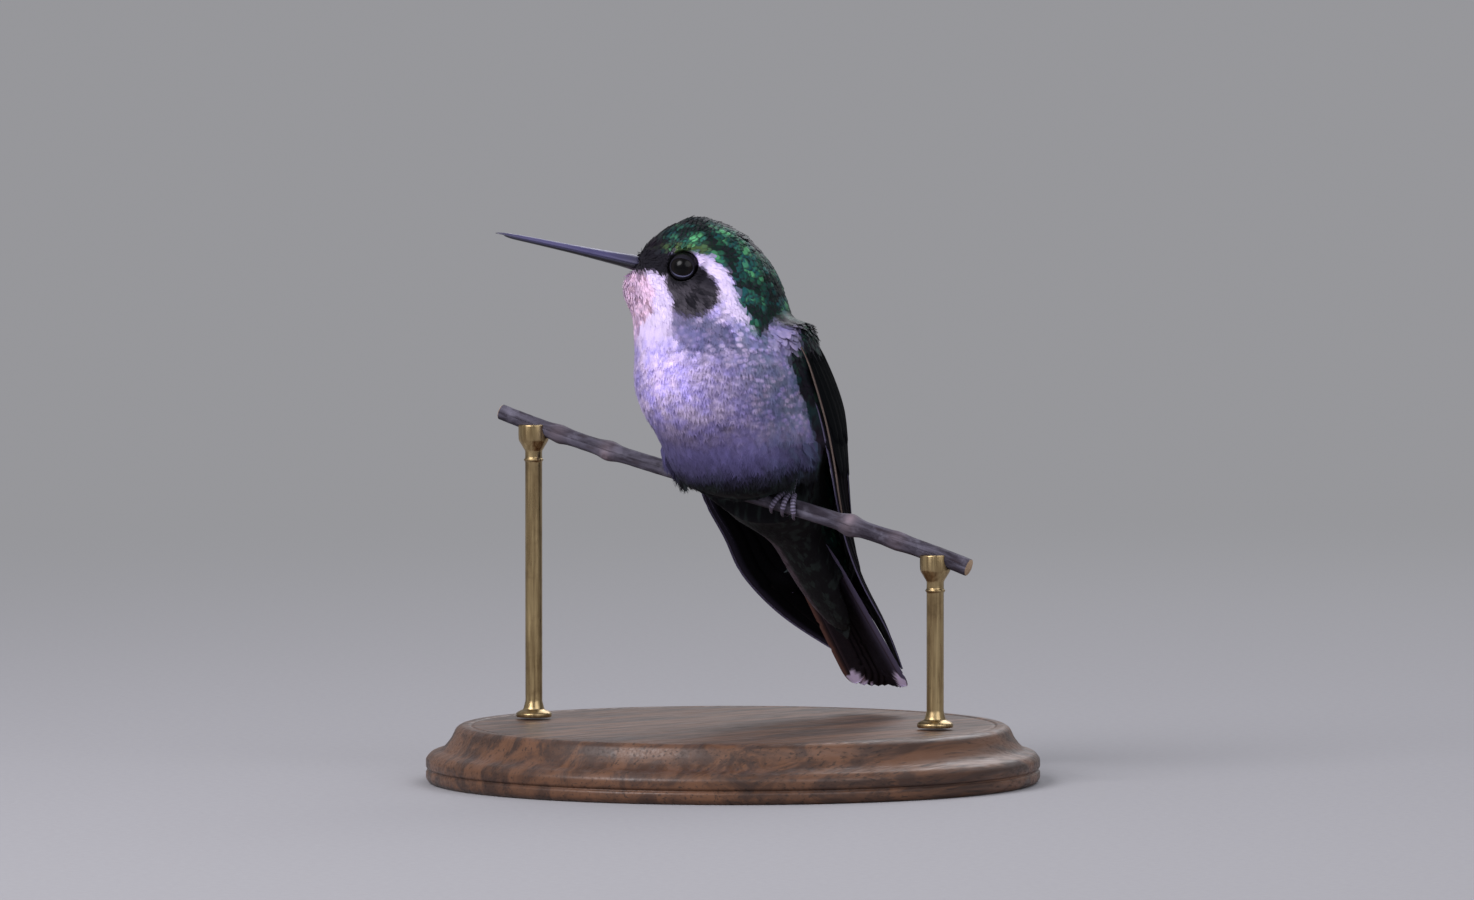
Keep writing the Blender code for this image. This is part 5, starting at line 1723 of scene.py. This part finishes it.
# ---------------------------------------------------------------- legs, toes and claws
TOE_RADIUS = 0.42
TOE_SPREAD = 1.45
TOES = (("inner", -1.0, 1), ("middle", 0.0, 1), ("outer", 1.0, 1), ("hind", 0.0, -1))
SCUTE_LENGTH = 0.42
RING_STEP = 0.045
ROD_SIDES = 20
TOE_ARC = (4.0, 112.0)  # degrees round the twig
CLAW_START, CLAW_ARC = 106.0, 68.0
SHANK_HEIGHTS = (0.35, 0.65, 1.2, 2.2, 3.0, 3.9, 4.3)  # over the twig, from the toes up
SHANK_RADII = (1.1, 0.95, 0.6, 0.5, 0.5, 0.62, 0.5)  # from the top down


def scaled_rod(path, radii):
    """A rod with raised overlapping scutes along it, and how high each point stands on its scute."""
    path = np.asarray(path, float)
    gone = np.concatenate([[0.0], np.cumsum(np.linalg.norm(np.diff(path, axis=0), axis=1))])
    count = int(gone[-1] / RING_STEP)
    reads = np.linspace(0.0, gone[-1], count)
    fine = np.stack([np.interp(reads, gone, path[:, axis]) for axis in range(3)], axis=1)
    radius = np.interp(reads, gone, radii)
    scute = (reads / SCUTE_LENGTH) % 1.0
    raised = np.where(scute < 0.85, scute / 0.85, (1.0 - scute) / 0.15)
    angles = round_angles(ROD_SIDES)
    lobes = 0.5 + 0.5 * np.cos(angles * 2)
    rings = radius[:, None] * (1.0 + (0.09 * raised[:, None] - 0.03) * (0.55 + 0.45 * lobes[None]))
    rings[-3:] *= np.array([0.9, 0.75, 0.5])[:, None]
    vertices, faces = tube(fine, rings, ROD_SIDES)
    numbers = np.concatenate([np.repeat(raised, ROD_SIDES), [0.0, 0.0]])
    return vertices, faces, numbers


def scute_piece(name, shape, look, slot, *replaced):
    vertices, faces, numbers = shape
    mesh = mesh_from(name, vertices, faces)
    put_numbers(mesh, "scute", numbers)
    mesh.materials.append(look)
    keep(new_object(name, mesh), slot, *replaced)


def build_foot(name, leg_look, claw_look):
    place = FOOT_PLACES[name]
    _, up = twig_axes(place)
    level = TWIG_RADIUS * (1.0 + TWIG_TAPER * place)
    heights = level + np.array(SHANK_HEIGHTS)
    leg = scaled_rod([twig_point(place) + up * h for h in heights[::-1]], SHANK_RADII)
    scute_piece(f"shank_{name}", leg, leg_look, "leg_skin", f"leg_{name}")
    for toe_name, spread, direction in TOES:
        ring = level + 0.12 + TOE_RADIUS
        offset = math.copysign(spread, spread * place) * TOE_SPREAD
        turns = np.radians(np.linspace(*TOE_ARC, 16)) * direction
        places = place + offset * np.linspace(0.4, 1.15, 16)
        wave = 0.03 * np.cos(np.linspace(0.0, 5 * math.pi, 16))
        path = [around_twig(p, t, ring) for p, t in zip(places, turns)]
        toe = scaled_rod(path, TOE_RADIUS * (0.95 + wave - 0.12 * np.linspace(0, 1, 16)))
        scute_piece(f"toe_skin_{name}_{toe_name}", toe, leg_look, "leg_skin", f"toe_{name}_{toe_name}")
        share = np.linspace(0.0, 1.0, 26)
        hook_turns = np.radians(CLAW_START + CLAW_ARC * share) * direction
        hook_ring = ring + 0.1 * np.sin(math.pi * share) - 0.24 * share**2
        path = [around_twig(places[-1], t, r) for t, r in zip(hook_turns, hook_ring)]
        radii = TOE_RADIUS * (0.74 * (1.0 - share) ** 0.7 + 0.05)
        vertices, faces = tube(path, radii, 14, 0.8)
        shape = (vertices, faces, np.concatenate([np.repeat(share, 14), [0.0, 1.0]]))
        scute_piece(f"claw_horn_{name}_{toe_name}", shape, claw_look, "claw_horn", f"claw_{name}_{toe_name}")


# ---------------------------------------------------------------- perch and stand
BUD_SCARS = ((-26.0, 2.2), (-18.6, 0.6), (17.6, 5.6), (24.5, 3.4))  # place along the twig, turn round it


def build_perch(look):
    """A thin dry twig with swollen nodes, bud scars, lengthwise ridges and cleanly cut ends."""
    sides, rows = 56, 520
    places = np.linspace(-TWIG_HALF_LENGTH, TWIG_HALF_LENGTH, rows)
    turns = round_angles(sides)
    t, a = np.meshgrid(places, turns, indexing="ij")
    radius = np.repeat(twig_radius(places)[:, None], sides, axis=1)
    radius = radius * (1.0 + 0.014 * np.sin(5 * a + 0.35 * t) + 0.014 * np.sin(9 * a - 0.22 * t + 1.0))
    radius += 0.01 * np.sin(3.1 * t + 2 * np.sin(a)) * np.sin(2 * a + 0.9 * t)
    knot = np.zeros_like(radius)
    for place, turn in BUD_SCARS:
        off = (np.angle(np.exp(1j * (a - turn)))) * TWIG_RADIUS
        near = np.exp(-(((t - place) / 0.75) ** 2) - (off / 0.8) ** 2)
        radius += 0.2 * near - 0.16 * np.exp(-(((t - place) / 0.28) ** 2) - (off / 0.3) ** 2)
        knot = np.maximum(knot, np.exp(-(((t - place) / 1.3) ** 2)) * (0.35 + 0.65 * near))
    end = TWIG_HALF_LENGTH - np.abs(t)
    radius -= 0.1 * (1.0 - np.sqrt(np.clip(1.0 - (1.0 - np.clip(end / 0.14, 0, 1)) ** 2, 0.0, 1.0)))
    radius = np.minimum(radius, (TWIG_RADIUS * (1.0 + TWIG_TAPER * t)) + 0.7)
    mesh = mesh_from("twig", *tube(twig_point(places), radius, sides))
    flat = np.stack([a * TWIG_RADIUS, t, radius], axis=-1).reshape(-1, 3)
    put_numbers(mesh, "grain", np.concatenate([flat, flat[:1], flat[-1:]]) * MM)
    cut = np.where(end < 0.02, 1.0, 0.0)
    put_numbers(mesh, "knot", np.concatenate([knot.ravel(), [0.0, 0.0]]))
    put_numbers(mesh, "cut", np.concatenate([cut.ravel(), [1.0, 1.0]]))
    mesh.materials.append(look)
    keep(new_object("twig", mesh), "twig_bark", "perch")


def build_base(look):
    """A turned disc: a plinth, a fine groove, a cove and a gently dished top."""
    r, _, h = np.array(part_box("stand_base")[1]) / MM
    corners = (
        (0.5, 0.0), (r - 0.6, 0.0), (r, 0.6), (r, h * 0.2), (r - 0.45, h * 0.235),
        (r, h * 0.27), (r, h * 0.42), (r - 0.7, h * 0.52), (r - 2.2, h * 0.58), (r - 2.9, h * 0.66),
        (r - 3.6, h * 0.78), (r - 4.2, h * 0.94), (r - 4.9, h), (r - 6.0, h), (r - 6.3, h - 0.16),
        (r - 6.7, h - 0.02), (0.5, h - 0.02),
    )
    profile = rounded_profile(corners, 0.32)
    fine = [profile[0]]
    for before, after in zip(profile, profile[1:]):
        pieces = max(1, int(np.linalg.norm(np.subtract(after, before)) / 4.0))
        fine += [np.add(before, np.subtract(after, before) * (k + 1) / pieces) for k in range(pieces)]
    mesh = mesh_from("base_turning", *turned(fine, 144))
    mesh.set_sharp_from_angle(angle=math.radians(50))
    mesh.materials.append(look)
    keep(new_object("stand_base_turning", mesh), "base_wood", "stand_base")


ROD_PLACES = (("left", 30.0), ("right", -30.0))  # along the twig
SADDLE_DROP = 2.6  # from the twig's underside to the saddle's foot
SADDLE_CLEARANCE = 0.06


def build_rod(name, place, look):
    """A slim rod with a flange, two rings and a saddle that takes the twig."""
    foot = twig_point(place)
    low, high = (np.array(v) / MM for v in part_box(f"stand_rod_{name}"))
    base, top = low[2], high[2]
    saddle = foot[2] - TWIG_RADIUS - SADDLE_DROP
    corners = (
        (0.3, base), (2.5, base), (2.55, base + 0.55), (2.1, base + 0.85), (1.5, base + 1.1),
        (1.35, base + 1.7), (1.2, base + 2.3), (1.2, saddle - 1.5), (1.45, saddle - 1.25),
        (1.2, saddle - 1.0), (1.2, saddle), (2.1, saddle + 1.5), (2.15, saddle + 2.1),
        (2.15, top - 0.02), (0.3, top - 0.02),
    )
    mesh = mesh_from(f"rod_{name}", *turned(rounded_profile(corners, 0.2), 48, foot[:2]))
    rod = new_object(f"stand_rod_{name}_turning", mesh)
    places = np.linspace(place - 6.0, place + 6.0, 9)
    hole = tube(twig_point(places), twig_radius(places) + SADDLE_CLEARANCE, 40)
    cutter = new_object("saddle_cut", mesh_from("saddle_cut", *hole))
    notch = rod.modifiers.new("saddle", "BOOLEAN")
    notch.object = cutter
    notch.solver = "EXACT"
    applied(rod)
    bpy.data.objects.remove(cutter)
    rod.data.shade_smooth()
    rod.data.set_sharp_from_angle(angle=math.radians(35))
    rod.data.materials.clear()
    rod.data.materials.append(look)
    keep(rod, "rod_brass", f"stand_rod_{name}")


# ---------------------------------------------------------------- the whole
ROOT_SINK = 0.04


def grow_whole_coat(skin, zones):
    """Each region of the body with its own kind of feather, spacing and lift."""
    shapes = feather_shapes()
    tree = coat_tree()
    z, head, turn = zones["z"], zones["head"], zones["turn"]
    points = points_of(skin.data)
    grown = bare_places(points)
    crown = ease(zones["crown"], 0.35, 0.6)
    wings = ease(zones["wings"], 0.3, 0.6)
    tail = to_tail(points)
    over = ease(tail[:, 2], 0.2, 1.2) * ease(tail[:, 1], 0.5, 2.0)
    back = np.maximum(ease(turn, 110.0, 118.0) * ease(z, 22.0, 20.0), over) * (1 - crown) * (1 - wings)
    over_end = ease(z, -11.0, -12.2)
    face = ease(z, 21.5, 24.0) * ease(head[:, 2], -9.0, -7.5) * (1 - crown) * (1 - wings) * (1 - back)
    under = ease(tail[:, 1], 2.5, 5.0) * (1 - over) * (1 - wings) * (1 - back)
    rest = (1 - crown) * (1 - wings) * (1 - back) * (1 - face) * (1 - under)
    belly = rest * ease(z, 11.0, 7.0)
    open_wings = wings * (1.0 - ease(turn, 90.0, 95.0) * ease(z, 15.5, 14.0))
    regions = {
        "crown": crown,
        "wings": open_wings,
        "back": back * (1 - over_end),
        "face": face,
        "vent": under,
        "breast": rest - belly,
        "belly": belly,
    }
    for name, values in regions.items():
        put_numbers(skin.data, f"grow_{name}", np.clip(values, 0.0, 1.0) * grown)
    eye_gap = np.min([np.linalg.norm(points - EYES[name], axis=1) for name, _ in SIDES], axis=0)
    bill_gap = np.linalg.norm(points - from_head(BILL_BASE - 1.0, 0.0, BILL_LEVEL), axis=1)
    size = (0.42 + 0.58 * ease(eye_gap, 2.4, 5.0)) * (0.5 + 0.5 * ease(bill_gap, 1.2, 6.5))
    below_tail = ease(np.abs(tail[:, 0]), 1.8, 2.6) * ease(tail[:, 2], 0.3, -0.5)
    size = size * (1.0 - 0.55 * below_tail * ease(z, 0.0, -3.0))
    size = size * (1.0 - 0.7 * ease(z, 3.0, -0.5) * ease(turn, 110.0, 80.0))
    put_numbers(skin.data, "size", size)
    put_numbers(skin.data, "lay", lay_of_coat(skin))

    glossy = plumage_material("plumage_glossy", 1.0, 0.0)
    soft = plumage_material("plumage_soft", 0.35, 0.04)
    # Piece, region, look, kind of feather, spacing, length, slot, lift, turn and seed.
    plans = (
        ("coat_crown", "crown", glossy, "scale", 0.4, 1.8, "coat_green", 0.08, 0.12, 3),
        ("coat_back", "back", glossy, "scale", 0.5, 2.5, "coat_green", 0.14, 0.1, 5),
        ("coat_wing_coverts", "wings", glossy, "scale", 0.5, 1.9, "covert_feather", 0.1, 0.08, 7),
        ("coat_face", "face", soft, "lance", 0.25, 1.4, "coat_pale", 0.15, 0.14, 11),
        ("coat_breast", "breast", soft, "soft", 0.38, 2.9, "coat_pale", 0.12, 0.08, 13),
        ("coat_belly", "belly", soft, "soft", 0.39, 3.1, "coat_grey", 0.1, 0.1, 17),
        ("coat_vent", "vent", soft, "scale", 0.5, 2.4, "coat_grey", 0.13, 0.1, 19),
    )
    for name, region, look, kind, spacing, length, slot, lift, turned_by, seed in plans:
        changes = {"Lift": lift, "Lift Spread": 0.1 * lift, "Turn Spread": turned_by}
        changes |= {"Sink": ROOT_SINK * MM, "Seed": seed}
        kinds = shapes[kind]
        grow_coat(name, skin, tree, f"grow_{region}", look, kinds, spacing, length, slot, changes)
    skin.data.materials.clear()
    skin.data.materials.append(soft)
    for holder in shapes.values():
        for piece in list(holder.objects):
            bpy.data.objects.remove(piece)
        bpy.data.collections.remove(holder)


def build_bird():
    skin = build_skin()
    unwrap_skin(skin)
    zones = paint_zones(skin)
    grow_whole_coat(skin, zones)
    keep(skin, "coat_grey", *FLESH)
    # ash is the stiff feathers' pale edge; where it is wide, on the outermost primary and the near outer
    # tail feather, it partly paints the lavender sheen on them.
    tan, rust, ash = tone(114, 100, 94), tone(112, 82, 76), tone(104, 98, 126)
    wing_tones = (tone(8, 8, 11), ash, tan, tone(30, 25, 28), ash)
    covert_tones = (tone(7, 10, 12), tone(22, 21, 27), tan, tone(12, 12, 15), ash)
    tail_tones = (tone(32, 29, 35), ash, rust, tone(60, 50, 56), tone(226, 212, 248))
    wing_look = flight_material("flight_feather", *wing_tones, 0.008)
    covert_look = flight_material("covert_feather", *covert_tones, 0.008)
    tail_look = flight_material("tail_feather", *tail_tones, 0.14)
    for name, side in SIDES:
        build_wing(name, side, wing_look, covert_look)
    build_tail(tail_look)
    eye_look, lids_look = eye_material(), lid_material()
    for name, _ in SIDES:
        build_eye(name, eye_look)
        build_lids(name, lids_look)
    horn = bill_material()
    build_bill(True, horn)
    build_bill(False, horn)
    leg_look = leg_material("leg_skin", tone(74, 68, 86), tone(150, 142, 172), 0.45)
    claw_look = leg_material("claw_horn", tone(84, 76, 92), tone(40, 35, 44), 0.32)
    for name, _ in SIDES:
        build_foot(name, leg_look, claw_look)


def build_stand():
    build_perch(bark_material())
    build_base(wood_material())
    brass = brass_material()
    for name, place in ROD_PLACES:
        build_rod(name, place, brass)


build_camera()
build_lights()
build_floor()
build_stand()
build_bird()
